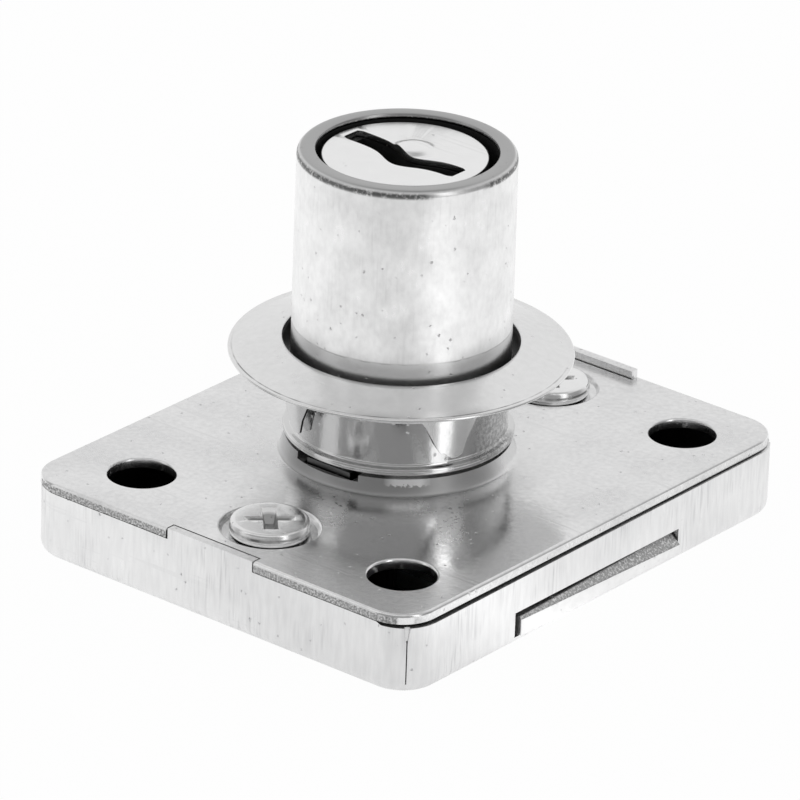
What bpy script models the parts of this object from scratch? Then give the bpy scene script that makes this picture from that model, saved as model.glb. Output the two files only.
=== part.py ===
"""A surface-mounted drawer lock: a pressed case with a sliding bolt, worked by a wafer plug.

Z runs along the cylinder towards the key, X is the way the bolt is thrown, Y runs along the
bolt's edge. The origin is on the cylinder's axis, on the flat back of the case.
"""

import math

import bmesh
import bpy

MM = 0.001

# Case and cover
LOCK_DEPTH = 6.2 * MM
COVER_X = 36.0 * MM
COVER_Y = 44.0 * MM
COVER_SHIFT = 0.98 * MM
COVER_SHEET = 0.75 * MM
CORNER_R = 3.0 * MM
CASE_SHEET = 0.7 * MM
CASE_FOLD_R = 0.9 * MM
CASE_SETBACK = 0.05 * MM
BOLT_WALL_PROUD = 0.22 * MM
WALL_GAP = 0.08 * MM
BOLT_WALL_SAG = 0.18 * MM
SEAM_WIDTH = 0.14 * MM
SEAM_NOTCH = 1.4 * MM
TAB_WIDTH = 7.95 * MM
FRONT_TAB_SHIFT = -0.22 * MM
REAR_TAB_SHIFT = 0.2 * MM
REAR_TAB_RISE = 0.6 * MM
TAB_CLEARANCE = 0.12 * MM
HOLE_R = 2.5 * MM
HOLE_SHIFT = 0.59 * MM
HOLE_PITCH_X = 24.5 * MM
HOLE_PITCH_Y = 32.5 * MM

# Cover screws and their posts
SCREW_SHIFT_X = 0.7 * MM
SCREW_SHIFT_Y = -0.275 * MM
SCREW_SKEW = 0.23 * MM
SCREW_PITCH_Y = 32.85 * MM
SCREW_HEAD_R = 2.93 * MM
SCREW_HEAD_HEIGHT = 1.05 * MM
SCREW_SHANK_R = 1.2 * MM
SCREW_LENGTH = 3.4 * MM
SCREW_TURN = math.radians(38)
DIMPLE_R = 3.7 * MM
DIMPLE_DEPTH = 0.45 * MM
POST_R = 2.4 * MM
RIVET_R = 1.6 * MM

# Cylinder
SLEEVE_R = 8.0 * MM
SLEEVE_WALL = 0.5 * MM
SLEEVE_HEIGHT = 23.67 * MM
SLEEVE_LIP_R = 8.5 * MM
SLEEVE_LIP_Z = 1.55 * MM
RIM_HOLE_R = 6.66 * MM
RIM_SHEET = 0.3 * MM
UPSTAND_HEIGHT = 1.3 * MM
UPSTAND_CROWN_R = 8.38 * MM
UPSTAND_FOOT_R = 10.3 * MM
NOTCH_WIDTH = 5.8 * MM
NOTCH_SHIFT = -0.12 * MM
NOTCH_DEPTH = 0.5 * MM
BODY_FLANGE = 1.2 * MM
BODY_FLANGE_R = 9.4 * MM
LUG_WIDTH = 4.0 * MM
LUG_REACH = 0.55 * MM
LUG_DROP = 0.3 * MM
FIT = 0.1 * MM

# Plug, its cap and its keyway
PLUG_R = 5.9 * MM
PLUG_FACE_R = 6.1 * MM
PLUG_FACE_SHEET = 0.4 * MM
PLUG_RECESS = 0.45 * MM
KEY_LENGTH = 10.0 * MM
KEY_WIDTH = 1.85 * MM
KEY_DIP = 1.15 * MM
KEY_DIP_X = 0.7 * MM
KEY_DIP_SPAN = 1.9 * MM
KEY_RISE = 0.05 * MM
KEY_TILT = 0.035
KEY_END_TAPER = 0.88
KEYWAY_DEPTH = 21.6 * MM
BUMP_R = 1.45 * MM
BUMP_HEIGHT = 0.34 * MM
TAIL_SIDE = 3.4 * MM

# Wafers and their springs
WAFERS = 6
WAFER_PITCH = 2.9 * MM
WAFER_FIRST = 5.0 * MM
WAFER_SHEET = 0.8 * MM
WAFER_WIDTH = 5.2 * MM
WAFER_TRAVEL = 0.6 * MM
WAFER_SIDE_WALL = 0.55 * MM
SPRING_R = 0.34 * MM
SPRING_WIRE_R = 0.07 * MM
SPRING_LENGTH = 2.4 * MM
SPRING_TURNS = 3
NUB_LENGTH = 0.5 * MM

# Bolt and the cam that throws it
BOLT_SHEET = 1.5 * MM
BOLT_WIDTH = 18.5 * MM
BOLT_SHIFT = -0.3 * MM
BOLT_THROW = 7.0 * MM
BOLT_PROUD = 0.3 * MM
BOLT_REAR_WALL = 2.6 * MM
BOLT_CORNER = 0.6 * MM
BOLT_BEVEL_LOW = 0.15 * MM
BOLT_BEVEL_HIGH = 0.75 * MM
SLOT_CLEARANCE = 0.25 * MM
SLOT_ROOF = 0.35 * MM
GUIDE_SHEET = 0.7 * MM
GUIDE_HEIGHT = 1.7 * MM
GUIDE_LENGTH = 5.6 * MM
GUIDE_FRONT_END = 8.0 * MM
GUIDE_REAR_END = -9.1 * MM
GUIDE_CLEARANCE = 0.25 * MM
PIN_R = 1.2 * MM
PIN_CLEARANCE = 0.25 * MM
PIN_HOLD = 0.9 * MM

# Push-on ring with four prongs
RING_R = 12.65 * MM
RING_HOLE_R = 8.65 * MM
RING_Z = 8.96 * MM
RING_FALL = 0.98 * MM
RING_SHEET = 0.5 * MM
RING_BORE_R = 8.2 * MM
PRONGS = 4
PRONG_FIRST = math.radians(-24.7)
PRONG_HEIGHT = 3.1 * MM
PRONG_WIDTH = 4.2 * MM
PRONG_TIP = 1.7 * MM
PRONG_SKEW = 0.35 * MM
PRONG_Z = 2.75 * MM
PRONG_LEAN = 0.08 * MM

# Numbers of facets
ROUND_STEPS = 64
BORE_STEPS = 48
SMALL_STEPS = 24

# Levels and places that follow from the sizes above
COVER_BOTTOM = LOCK_DEPTH - COVER_SHEET
BOLT_BOTTOM = CASE_SHEET + FIT
BOLT_TOP = BOLT_BOTTOM + BOLT_SHEET
BODY_TOP_OF_FLANGE = COVER_BOTTOM - FIT
BODY_BOTTOM = BODY_TOP_OF_FLANGE - BODY_FLANGE
CAM_BOTTOM = BOLT_TOP + 1.5 * FIT
CAM_TOP = BODY_BOTTOM - 1.5 * FIT
SLEEVE_TOP = LOCK_DEPTH + SLEEVE_HEIGHT
SLEEVE_BOTTOM = LOCK_DEPTH + SLEEVE_LIP_Z
SLEEVE_BORE_R = SLEEVE_R - SLEEVE_WALL
BODY_R = SLEEVE_BORE_R - FIT
BODY_TOP = SLEEVE_TOP - RIM_SHEET - 1.5 * FIT
FACE_TOP = SLEEVE_TOP - PLUG_RECESS
PLUG_TOP = FACE_TOP - PLUG_FACE_SHEET - FIT
PLUG_BORE_R = PLUG_R + 0.8 * FIT
FACE_SKIRT = 1.6 * MM
FACE_BORE_R = RIM_HOLE_R + FIT / 2
PIN_ORBIT = BOLT_THROW / math.sqrt(2)
CASE_REAR_X = COVER_SHIFT - COVER_X / 2 + CASE_SETBACK
CASE_FRONT_X = COVER_SHIFT + COVER_X / 2 + BOLT_WALL_PROUD
CASE_SHIFT = (CASE_FRONT_X + CASE_REAR_X) / 2
BOLT_FRONT = CASE_FRONT_X + BOLT_PROUD
TAIL_HEAD_R = TAIL_SIDE * 0.62
TAIL_HEAD = 0.4 * MM
TAIL_SLOT_HALF = TAIL_HEAD_R + 3 * FIT
WAFER_Z = [LOCK_DEPTH + WAFER_FIRST + n * WAFER_PITCH for n in range(WAFERS)]
WAFER_R = PLUG_R - 0.8 * FIT
SPRING_NOTCH = 2 * SPRING_R + 1.7 * FIT


def material(name, colour, roughness, metallic=1.0):
    """A metal finish as a Principled shader."""
    made = bpy.data.materials.new(name)
    made.use_nodes = True
    shader = made.node_tree.nodes["Principled BSDF"]
    shader.inputs["Base Color"].default_value = (*colour, 1.0)
    shader.inputs["Roughness"].default_value = roughness
    shader.inputs["Metallic"].default_value = metallic
    return made


def circle(radius, z, steps=ROUND_STEPS, centre=(0.0, 0.0)):
    """Points of a level circle, anticlockwise."""
    turns = (math.tau * step / steps for step in range(steps))
    return [(centre[0] + radius * math.cos(a), centre[1] + radius * math.sin(a), z) for a in turns]


def square(half, z, steps):
    """A level square with as many points as a circle of these steps."""
    points = []
    for step in range(steps):
        a = math.tau * step / steps
        reach = half / max(abs(math.cos(a)), abs(math.sin(a)))
        points.append((reach * math.cos(a), reach * math.sin(a), z))
    return points


def level(outline, z):
    """A flat outline lifted to a height."""
    return [(x, y, z) for x, y in outline]


def rectangle(x0, x1, y0, y1):
    """Corners of a rectangle, anticlockwise."""
    return [(x0, y0), (x1, y0), (x1, y1), (x0, y1)]


def rounded(half_x, half_y, radius, centre_x, front_breaks, rear_breaks, steps=5):
    """A rounded rectangle about (centre_x, 0); the breaks are extra points on its long sides."""
    corners = ((1, -1, -90), (1, 1, 0), (-1, 1, 90), (-1, -1, 180))
    points = [(x, -half_y) for x in front_breaks]
    for side_x, side_y, start in corners:
        for step in range(steps + 1):
            a = math.radians(start + 90 * step / steps)
            x = centre_x + side_x * (half_x - radius) + radius * math.cos(a)
            y = side_y * (half_y - radius) + radius * math.sin(a)
            points.append((x, y))
        if (side_x, side_y) == (1, 1):
            points += [(x, half_y) for x in reversed(rear_breaks)]
    return points


def tab_limits(side, margin=0.0):
    """Ends along X of the case's tab on one long side, with room for it where it is wanted."""
    middle = COVER_SHIFT + (FRONT_TAB_SHIFT if side < 0 else REAR_TAB_SHIFT)
    return middle - TAB_WIDTH / 2 - margin, middle + TAB_WIDTH / 2 + margin


def key_outline():
    """The keyhole: a band of even height, slightly tilted, that dips in a wave near its middle."""
    columns = 16
    lower, upper = [], []
    for n in range(columns + 1):
        x = KEY_LENGTH * (n / columns - 0.5)
        dip = KEY_DIP * math.exp(-(((x - KEY_DIP_X) / KEY_DIP_SPAN) ** 2))
        middle = KEY_RISE - KEY_TILT * x - dip
        half = KEY_WIDTH / 2 * (KEY_END_TAPER if n in (0, columns) else 1.0)
        lower.append((x, middle - half))
        upper.append((x, middle + half))
    return lower + upper[::-1]


def screw_place(side):
    """Where the cover screw at one end stands: the two lie a little askew about the cover's middle."""
    return COVER_SHIFT + SCREW_SHIFT_X - side * SCREW_SKEW, SCREW_SHIFT_Y + side * SCREW_PITCH_Y / 2


def finished(name, bm, finish, parent=None, at=(0.0, 0.0, 0.0)):
    """Turns a bmesh into a named, smooth-shaded object."""
    bmesh.ops.recalc_face_normals(bm, faces=bm.faces)
    mesh = bpy.data.meshes.new(name)
    bm.to_mesh(mesh)
    bm.free()
    mesh.shade_smooth()
    mesh.set_sharp_from_angle(angle=math.radians(35))
    mesh.materials.append(finish)
    made = bpy.data.objects.new(name, mesh)
    made.location = at
    made.parent = parent
    bpy.context.scene.collection.objects.link(made)
    return made


def skin(bm, stack, closed=False):
    """Quads between each loop of a stack and the next."""
    rings = [[bm.verts.new(point) for point in loop] for loop in stack]
    pairs = list(zip(rings, rings[1:]))
    if closed:
        pairs.append((rings[-1], rings[0]))
    for first, second in pairs:
        for n in range(len(first)):
            after = (n + 1) % len(first)
            bm.faces.new((first[n], first[after], second[after], second[n]))
    return rings


def solid(name, stack, finish, parent=None, at=(0.0, 0.0, 0.0)):
    """A solid lofted through level loops, with a flat cap at each end."""
    bm = bmesh.new()
    rings = skin(bm, stack)
    bm.faces.new(rings[0][::-1])
    bm.faces.new(rings[-1])
    return finished(name, bm, finish, parent, at)


def hollow(name, stack, finish, parent=None):
    """A solid whose last loop joins its first, such as a tube."""
    bm = bmesh.new()
    skin(bm, stack, closed=True)
    return finished(name, bm, finish, parent)


def sheet(name, border, holes, finish, parent=None, at=(0.0, 0.0, 0.0)):
    """A pressed sheet: each edge is a stack of loops from the top face down to the bottom face."""
    bm = bmesh.new()
    stacks = [skin(bm, stack) for stack in (border, *holes)]
    for face in (0, -1):
        edges = []
        for rings in stacks:
            loop = rings[face]
            edges += [bm.edges.get((loop[n - 1], loop[n])) for n in range(len(loop))]
        bmesh.ops.triangle_fill(bm, edges=edges, use_beauty=True, normal=(0.0, 0.0, 1.0))
    return finished(name, bm, finish, parent, at)


def turned(profile, steps=ROUND_STEPS, centre=(0.0, 0.0)):
    """Loops of a turned piece from its (radius, height) points."""
    return [circle(radius, z, steps, centre) for radius, z in profile]


def box(name, x, y, z):
    """A block between three pairs of limits, used to cut or to join."""
    corners = rectangle(x[0], x[1], y[0], y[1])
    return solid(name, [level(corners, z[0]), level(corners, z[1])], HIDDEN)


def combine(piece, tool, how):
    """Cuts a tool from a piece, or joins it on, and hides the tool."""
    change = piece.modifiers.new(tool.name, "BOOLEAN")
    change.operation = how
    change.solver = "EXACT"
    change.object = tool
    tool.hide_render = True
    tool.display_type = "WIRE"
    tool.parent = piece.parent


def half_chord(offset, radius):
    """How far a circle reaches at this offset from its middle."""
    return math.sqrt(radius * radius - offset * offset)


def make_case(finish):
    """The tray: folded walls, two tabs that locate the cover, bolt guides and a bolt slot."""
    half_x = (CASE_FRONT_X - CASE_REAR_X) / 2
    half_y = COVER_Y / 2 - CASE_SETBACK
    top = COVER_BOTTOM - WALL_GAP
    tabs = tab_limits(-1), tab_limits(1)

    def loop(inset, z):
        outline = rounded(half_x - inset, half_y - inset, CORNER_R - inset, CASE_SHIFT, *tabs)
        return level(outline, z)

    folds = 4
    turns = [math.pi / 2 * n / folds for n in range(folds + 1)]
    stack = [loop(CASE_FOLD_R * (1 - math.sin(a)), CASE_FOLD_R * (1 - math.cos(a))) for a in turns]
    inner_fold = 0.3 * CASE_FOLD_R
    stack += [
        loop(0, top),
        loop(CASE_SHEET, top),
        loop(CASE_SHEET, CASE_SHEET + inner_fold),
        loop(CASE_SHEET + inner_fold, CASE_SHEET),
    ]
    bm = bmesh.new()
    rings = skin(bm, stack)
    bm.faces.new(rings[0][::-1])
    bm.faces.new(rings[-1])
    wall_top = len(turns)
    lift_tabs(bm, rings[wall_top], rings[wall_top + 1], top)
    for vert in rings[wall_top] + rings[wall_top + 1]:
        if vert.co.x > CASE_FRONT_X - CORNER_R:
            along = (half_y - vert.co.y) / (2 * half_y)
            vert.co.z -= BOLT_WALL_SAG * max(0.0, min(1.0, along))
    case = finished("lock_case", bm, finish)
    add_guides(case)
    cut_case(case, half_x, half_y, top)
    return case


def lift_tabs(bm, outer, inner, top):
    """Raises the wall between the breaks on each long side: flush in front, proud behind."""
    for at_y, height in ((-1, LOCK_DEPTH), (1, LOCK_DEPTH + REAR_TAB_RISE)):
        faces = [face for face in bm.faces if is_tab(face, outer, inner, at_y)]
        raised = bmesh.ops.extrude_face_region(bm, geom=faces)
        bmesh.ops.delete(bm, geom=faces, context="FACES_ONLY")
        for vert in raised["geom"]:
            if isinstance(vert, bmesh.types.BMVert):
                vert.co.z += height - top


def is_tab(face, outer, inner, side):
    """True for the wall-top face between the tab's limits on one long side."""
    tops = set(outer) | set(inner)
    if not all(vert in tops for vert in face.verts):
        return False
    centre = face.calc_center_median()
    low, high = tab_limits(side)
    return centre.y * side > COVER_Y / 4 and low < centre.x < high


def add_guides(case):
    """Four upright guides that the bolt's edges run between."""
    for side in (-1, 1):
        edge = BOLT_SHIFT + side * (BOLT_WIDTH / 2 + GUIDE_CLEARANCE)
        far = edge + side * GUIDE_SHEET
        for n, end in enumerate((GUIDE_FRONT_END, GUIDE_REAR_END)):
            name = f"guide_tool_{side + 1}_{n}"
            guide = box(
                name,
                (end - GUIDE_LENGTH, end),
                (min(edge, far), max(edge, far)),
                (CASE_SHEET / 2, CASE_SHEET + GUIDE_HEIGHT),
            )
            combine(case, guide, "UNION")


def cut_case(case, half_x, half_y, top):
    """The bolt slot, the corner seams and the holes that hold the posts."""
    wall = CASE_FRONT_X
    slot_half = BOLT_WIDTH / 2 + SLOT_CLEARANCE
    slot = box(
        "bolt_slot_tool",
        (wall - 2 * CASE_SHEET, wall + CASE_SHEET),
        (BOLT_SHIFT - SLOT_CLEARANCE / 2 - slot_half, BOLT_SHIFT - SLOT_CLEARANCE / 2 + slot_half),
        (CASE_SHEET, BOLT_TOP + SLOT_ROOF),
    )
    combine(case, slot, "DIFFERENCE")
    for side_x in (-1, 1):
        for side_y in (-1, 1):
            seam = make_seam(f"seam_tool_{side_x + 1}_{side_y + 1}", top)
            reach = CORNER_R * (1 - math.sqrt(0.5))
            seam.location = (
                CASE_SHIFT + side_x * (half_x - reach),
                side_y * (half_y - reach),
                0.0,
            )
            seam.rotation_euler = (0.0, 0.0, math.atan2(side_y, side_x))
            combine(case, seam, "DIFFERENCE")
    for side in (-1, 1):
        centre = screw_place(side)
        profile = [(RIVET_R + FIT, -CASE_SHEET), (RIVET_R + FIT, 2 * CASE_SHEET)]
        tool = solid(f"rivet_tool_{side + 1}", turned(profile, SMALL_STEPS, centre), HIDDEN)
        combine(case, tool, "DIFFERENCE")


def make_seam(name, top):
    """A slit through a corner, opened to a notch where the sheet's edge starts."""
    half = SEAM_WIDTH / 2
    low = CASE_SHEET + FIT
    depth = 2 * CASE_SHEET
    side = [
        (-half, low),
        (half, low),
        (half, top - SEAM_NOTCH),
        (2.8 * half, top + FIT),
        (-2.8 * half, top + FIT),
        (-half, top - SEAM_NOTCH),
    ]
    bm = bmesh.new()
    stack = [[(x, y, z) for y, z in side] for x in (-depth, depth)]
    rings = skin(bm, stack)
    bm.faces.new(rings[0][::-1])
    bm.faces.new(rings[-1])
    return finished(name, bm, HIDDEN)


def make_cover(finish):
    """The cover plate: corner holes, pressed screw dimples and a drawn upstand at the cylinder."""
    half_x, half_y = COVER_X / 2, COVER_Y / 2
    border = [level(cover_outline(half_x, half_y), z) for z in (LOCK_DEPTH, COVER_BOTTOM)]
    holes = []
    for side_x in (-1, 1):
        for side_y in (-1, 1):
            hole_x = COVER_SHIFT + HOLE_SHIFT + side_x * HOLE_PITCH_X / 2
            centre = (hole_x, side_y * HOLE_PITCH_Y / 2)
            profile = [(HOLE_R, LOCK_DEPTH), (HOLE_R, COVER_BOTTOM)]
            holes.append(turned(profile, SMALL_STEPS, centre))
    floor = LOCK_DEPTH - DIMPLE_DEPTH
    bend = 0.3 * DIMPLE_DEPTH
    dimple = [
        (DIMPLE_R, LOCK_DEPTH),
        (DIMPLE_R - bend, LOCK_DEPTH - bend),
        (DIMPLE_R - 2 * bend, floor),
        (SCREW_SHANK_R + 3 * FIT, floor),
        (SCREW_SHANK_R + 3 * FIT, floor - COVER_SHEET),
        (DIMPLE_R, floor - COVER_SHEET),
        (DIMPLE_R + 2 * bend, COVER_BOTTOM),
    ]
    for side in (-1, 1):
        centre = screw_place(side)
        holes.append(turned(dimple, SMALL_STEPS, centre))
    inner = BODY_R + 1.5 * FIT
    crown = LOCK_DEPTH + UPSTAND_HEIGHT
    flare = UPSTAND_FOOT_R - UPSTAND_CROWN_R
    upstand = [
        (UPSTAND_FOOT_R, LOCK_DEPTH),
        (UPSTAND_CROWN_R + 0.47 * flare, LOCK_DEPTH + 0.13 * UPSTAND_HEIGHT),
        (UPSTAND_CROWN_R + 0.21 * flare, LOCK_DEPTH + 0.41 * UPSTAND_HEIGHT),
        (UPSTAND_CROWN_R + 0.05 * flare, LOCK_DEPTH + 0.77 * UPSTAND_HEIGHT),
        (UPSTAND_CROWN_R, crown),
        (inner, crown),
        (inner, COVER_BOTTOM),
    ]
    holes.append(turned(upstand, ROUND_STEPS))
    cover = sheet("cover_plate", border, holes, finish)
    for side in (-1, 1):
        middle = -side * NOTCH_SHIFT
        half = NOTCH_WIDTH / 2
        near = half_chord(half + abs(middle), inner) - FIT
        notch = box(
            f"upstand_notch_tool_{side + 1}",
            (middle - half, middle + half),
            sorted((side * near, side * UPSTAND_FOOT_R)),
            (crown - NOTCH_DEPTH, crown + COVER_SHEET),
        )
        combine(cover, notch, "DIFFERENCE")
        half = LUG_WIDTH / 2 + 3 * FIT
        near = half_chord(half, inner) - FIT
        groove = box(
            f"lug_groove_tool_{side + 1}",
            (-half, half),
            sorted((side * near, side * (BODY_R + LUG_REACH + 1.5 * FIT))),
            (0, crown + COVER_SHEET),
        )
        combine(cover, groove, "DIFFERENCE")
    return cover


def cover_outline(half_x, half_y):
    """The cover's edge, with a notch on each long side for the case's tabs."""
    front, rear = (tab_limits(side, TAB_CLEARANCE) for side in (-1, 1))
    depth = CASE_SETBACK + CASE_SHEET + TAB_CLEARANCE
    notched = []
    for x, y in rounded(half_x, half_y, CORNER_R, COVER_SHIFT, front, rear):
        limits = front if y < 0 else rear
        at_notch = x in limits and abs(y) > half_y - CORNER_R / 2
        if at_notch:
            inside = (x, math.copysign(half_y - depth, y))
            first_met = (x == limits[0]) == (y < 0)
            notched += [(x, y), inside] if first_met else [inside, (x, y)]
        else:
            notched.append((x, y))
    return notched


def make_post(side, finish):
    """A threaded post riveted into the back of the case under each cover screw."""
    centre = screw_place(side)
    shoulder = CASE_SHEET + FIT
    top = LOCK_DEPTH - DIMPLE_DEPTH - COVER_SHEET - 1.5 * FIT
    bore = SCREW_SHANK_R + FIT
    bottom = LOCK_DEPTH - DIMPLE_DEPTH - SCREW_LENGTH - 3 * FIT
    profile = [
        (RIVET_R, FIT / 2),
        (RIVET_R, shoulder),
        (POST_R, shoulder),
        (POST_R, top),
        (bore, top),
        (bore, bottom),
    ]
    name = "screw_post_front" if side < 0 else "screw_post_rear"
    return solid(name, turned(profile, SMALL_STEPS, centre), finish)


def make_screw(side, finish):
    """A low pan-head machine screw with a cross recess."""
    centre = screw_place(side)
    seat = LOCK_DEPTH - DIMPLE_DEPTH + FIT / 2
    top = seat + SCREW_HEAD_HEIGHT
    profile = [
        (0.8 * SCREW_SHANK_R, seat - SCREW_LENGTH),
        (SCREW_SHANK_R, seat - 0.93 * SCREW_LENGTH),
        (SCREW_SHANK_R, seat),
        (SCREW_HEAD_R - 0.08 * SCREW_HEAD_R, seat),
        (SCREW_HEAD_R, seat + 0.2 * SCREW_HEAD_HEIGHT),
        (SCREW_HEAD_R, seat + 0.55 * SCREW_HEAD_HEIGHT),
        (0.95 * SCREW_HEAD_R, seat + 0.85 * SCREW_HEAD_HEIGHT),
        (0.87 * SCREW_HEAD_R, top - 0.04 * SCREW_HEAD_HEIGHT),
        (0.6 * SCREW_HEAD_R, top),
    ]
    name = "cover_screw_front" if side < 0 else "cover_screw_rear"
    screw = solid(name, turned(profile, SMALL_STEPS, centre), finish)
    reach, half = 0.68 * SCREW_HEAD_R, 0.2 * SCREW_HEAD_R
    recess_floor = seat + 0.2 * SCREW_HEAD_HEIGHT
    stack = [
        cross(0.45 * reach, 0.5 * half, recess_floor),
        cross(reach, half, top + 0.2 * SCREW_HEAD_HEIGHT),
    ]
    tool = solid(name + "_recess_tool", stack, HIDDEN, at=(*centre, 0.0))
    tool.rotation_euler = (0.0, 0.0, SCREW_TURN)
    combine(screw, tool, "DIFFERENCE")
    return screw


def cross(reach, half, z):
    """A cross outline with arms of a reach and half width."""
    arm = [(reach, -half), (reach, half), (half, half)]
    points = []
    for quarter in range(4):
        c, s = round(math.cos(quarter * math.pi / 2)), round(math.sin(quarter * math.pi / 2))
        points += [(c * x - s * y, s * x + c * y, z) for x, y in arm]
    return points


def make_sleeve(finish):
    """The drawn sleeve round the cylinder: a rolled rim at the key end and a turned-out lip."""
    bottom, top = SLEEVE_BOTTOM, SLEEVE_TOP
    lip = SLEEVE_LIP_R - SLEEVE_R
    roll = SLEEVE_WALL
    profile = [
        (SLEEVE_BORE_R, bottom),
        (SLEEVE_LIP_R - 0.3 * lip, bottom),
        (SLEEVE_LIP_R, bottom + 0.3 * lip),
        (SLEEVE_LIP_R, bottom + 0.8 * lip),
        (SLEEVE_LIP_R - 0.3 * lip, bottom + 1.1 * lip),
        (SLEEVE_R + 0.15 * lip, bottom + 1.2 * lip),
        (SLEEVE_R, bottom + 1.6 * lip),
        (SLEEVE_R, top - roll),
        (SLEEVE_R - 0.13 * roll, top - 0.5 * roll),
        (SLEEVE_R - 0.5 * roll, top - 0.13 * roll),
        (SLEEVE_R - roll, top),
        (RIM_HOLE_R + 0.3 * RIM_SHEET, top),
        (RIM_HOLE_R, top - 0.3 * RIM_SHEET),
        (RIM_HOLE_R, top - RIM_SHEET),
        (SLEEVE_BORE_R, top - RIM_SHEET),
    ]
    return hollow("cylinder_sleeve", turned(profile), finish)


def make_body(finish):
    """The cast body that the plug turns in: a flange under the cover and four wafer channels."""
    counterbore = PLUG_TOP - FACE_SKIRT - 2 * FIT
    profile = [
        (PLUG_BORE_R, BODY_BOTTOM),
        (BODY_FLANGE_R, BODY_BOTTOM),
        (BODY_FLANGE_R, BODY_TOP_OF_FLANGE),
        (BODY_R, BODY_TOP_OF_FLANGE),
        (BODY_R, BODY_TOP),
        (FACE_BORE_R, BODY_TOP),
        (FACE_BORE_R, counterbore),
        (PLUG_BORE_R, counterbore),
    ]
    body = hollow("cylinder_body", turned(profile, BORE_STEPS), finish)
    for side in (-1, 1):
        seat = half_chord(LUG_WIDTH / 2, BODY_R) - 2 * FIT
        y0, y1 = sorted((side * seat, side * (BODY_R + LUG_REACH)))
        lug = box(
            f"body_lug_tool_{side + 1}",
            (-LUG_WIDTH / 2, LUG_WIDTH / 2),
            (y0, y1),
            (COVER_BOTTOM + FIT, SLEEVE_BOTTOM - LUG_DROP),
        )
        combine(body, lug, "UNION")
    reach = WAFER_R + WAFER_TRAVEL + 3 * FIT
    half = WAFER_WIDTH / 2 + 1.5 * FIT
    low, high = WAFER_Z[0] - WAFER_PITCH / 2, WAFER_Z[-1] + WAFER_PITCH / 2
    for axis in (0, 1):
        outline = barrel_outline(reach, half)
        if axis:
            outline = [(-y, x) for x, y in outline]
        stack = [level(outline, low), level(outline, high)]
        tool = solid(f"channel_tool_{axis}", stack, HIDDEN)
        combine(body, tool, "DIFFERENCE")
    return body


def barrel_outline(radius, half):
    """A band across a circle, its two ends following the circle."""
    lean = math.asin(half / radius)
    steps = 6
    right = [lean * (2 * n / steps - 1) for n in range(steps + 1)]
    ends = right + [math.pi + a for a in right]
    return [(radius * math.cos(a), radius * math.sin(a)) for a in ends]


def make_plug(finish, parent):
    """The plug: wafer slots, a keyway through them and a square tail that carries the cam."""
    steps = BORE_STEPS
    barrel_bottom = CAM_TOP + 1.5 * FIT
    neck = PLUG_TOP - FACE_SKIRT
    side = TAIL_SIDE / 2
    head_top = CAM_BOTTOM - FIT
    stack = [
        circle(0.7 * TAIL_HEAD_R, head_top - TAIL_HEAD, steps),
        circle(TAIL_HEAD_R, head_top - 0.6 * TAIL_HEAD, steps),
        circle(TAIL_HEAD_R, head_top, steps),
        square(side, head_top, steps),
        square(side, barrel_bottom, steps),
        circle(PLUG_R, barrel_bottom, steps),
        circle(PLUG_R, neck, steps),
        circle(PLUG_FACE_R - PLUG_FACE_SHEET - FIT, neck, steps),
        circle(PLUG_FACE_R - PLUG_FACE_SHEET - FIT, PLUG_TOP, steps),
    ]
    plug = solid("plug", stack, finish, parent)
    for n, z in enumerate(WAFER_Z):
        half_z = WAFER_SHEET / 2 + FIT
        outline = wafer_slot(way(n))
        stack = [level(outline, z - half_z), level(outline, z + half_z)]
        combine(plug, solid(f"wafer_slot_tool_{n + 1}", stack, HIDDEN), "DIFFERENCE")
    stack = [level(key_outline(), PLUG_TOP - KEYWAY_DEPTH), level(key_outline(), SLEEVE_TOP)]
    combine(plug, solid("keyway_tool", stack, HIDDEN), "DIFFERENCE")
    return plug


def way(n):
    """Wafers are sprung to alternate sides."""
    return 1 if n % 2 == 0 else -1


def nub_limits():
    """Start and end along X of the nub that the spring pushes against."""
    end = -SPRING_LENGTH / 2
    return end - NUB_LENGTH, end


def wafer_slot(side):
    """The slot for one wafer, with a nub left standing in it for the spring."""
    long, half = 1.3 * PLUG_R, WAFER_WIDTH / 2 + FIT
    start, end = (side * x for x in nub_limits())
    low, high = sorted((start, end))
    inner = half - SPRING_NOTCH
    return [
        (-long, -half),
        (long, -half),
        (long, half),
        (high, half),
        (high, inner + FIT),
        (low, inner + FIT),
        (low, half),
        (-long, half),
    ]


def wafer_outline(side):
    """A wafer's border: ends that follow the plug and a notch for its spring."""
    ends = barrel_outline(WAFER_R, WAFER_WIDTH / 2)
    half = WAFER_WIDTH / 2
    inner = half - SPRING_NOTCH
    nub_start = nub_limits()[0]
    near = nub_start - WAFER_TRAVEL - FIT
    far = SPRING_LENGTH / 2 + FIT / 2
    low, high = sorted((side * near, side * far))
    middle = len(ends) // 2
    notch = [(high, half), (high, inner), (low, inner), (low, half)]
    return ends[:middle] + notch + ends[middle:]


def make_wafer(n, finish, parent):
    """One flat wafer with a window for the key, at its place in the plug."""
    half = WAFER_SHEET / 2
    outline = wafer_outline(way(n))
    notch_floor = WAFER_WIDTH / 2 - SPRING_NOTCH
    window = rectangle(
        -0.43 * KEY_LENGTH,
        0.43 * KEY_LENGTH,
        -WAFER_WIDTH / 2 + WAFER_SIDE_WALL,
        notch_floor - WAFER_SIDE_WALL,
    )
    border = [level(outline, half), level(outline, -half)]
    hole = [level(window, half), level(window, -half)]
    return sheet(f"wafer_{n + 1}", border, [hole], finish, parent, (0.0, 0.0, WAFER_Z[n]))


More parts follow.
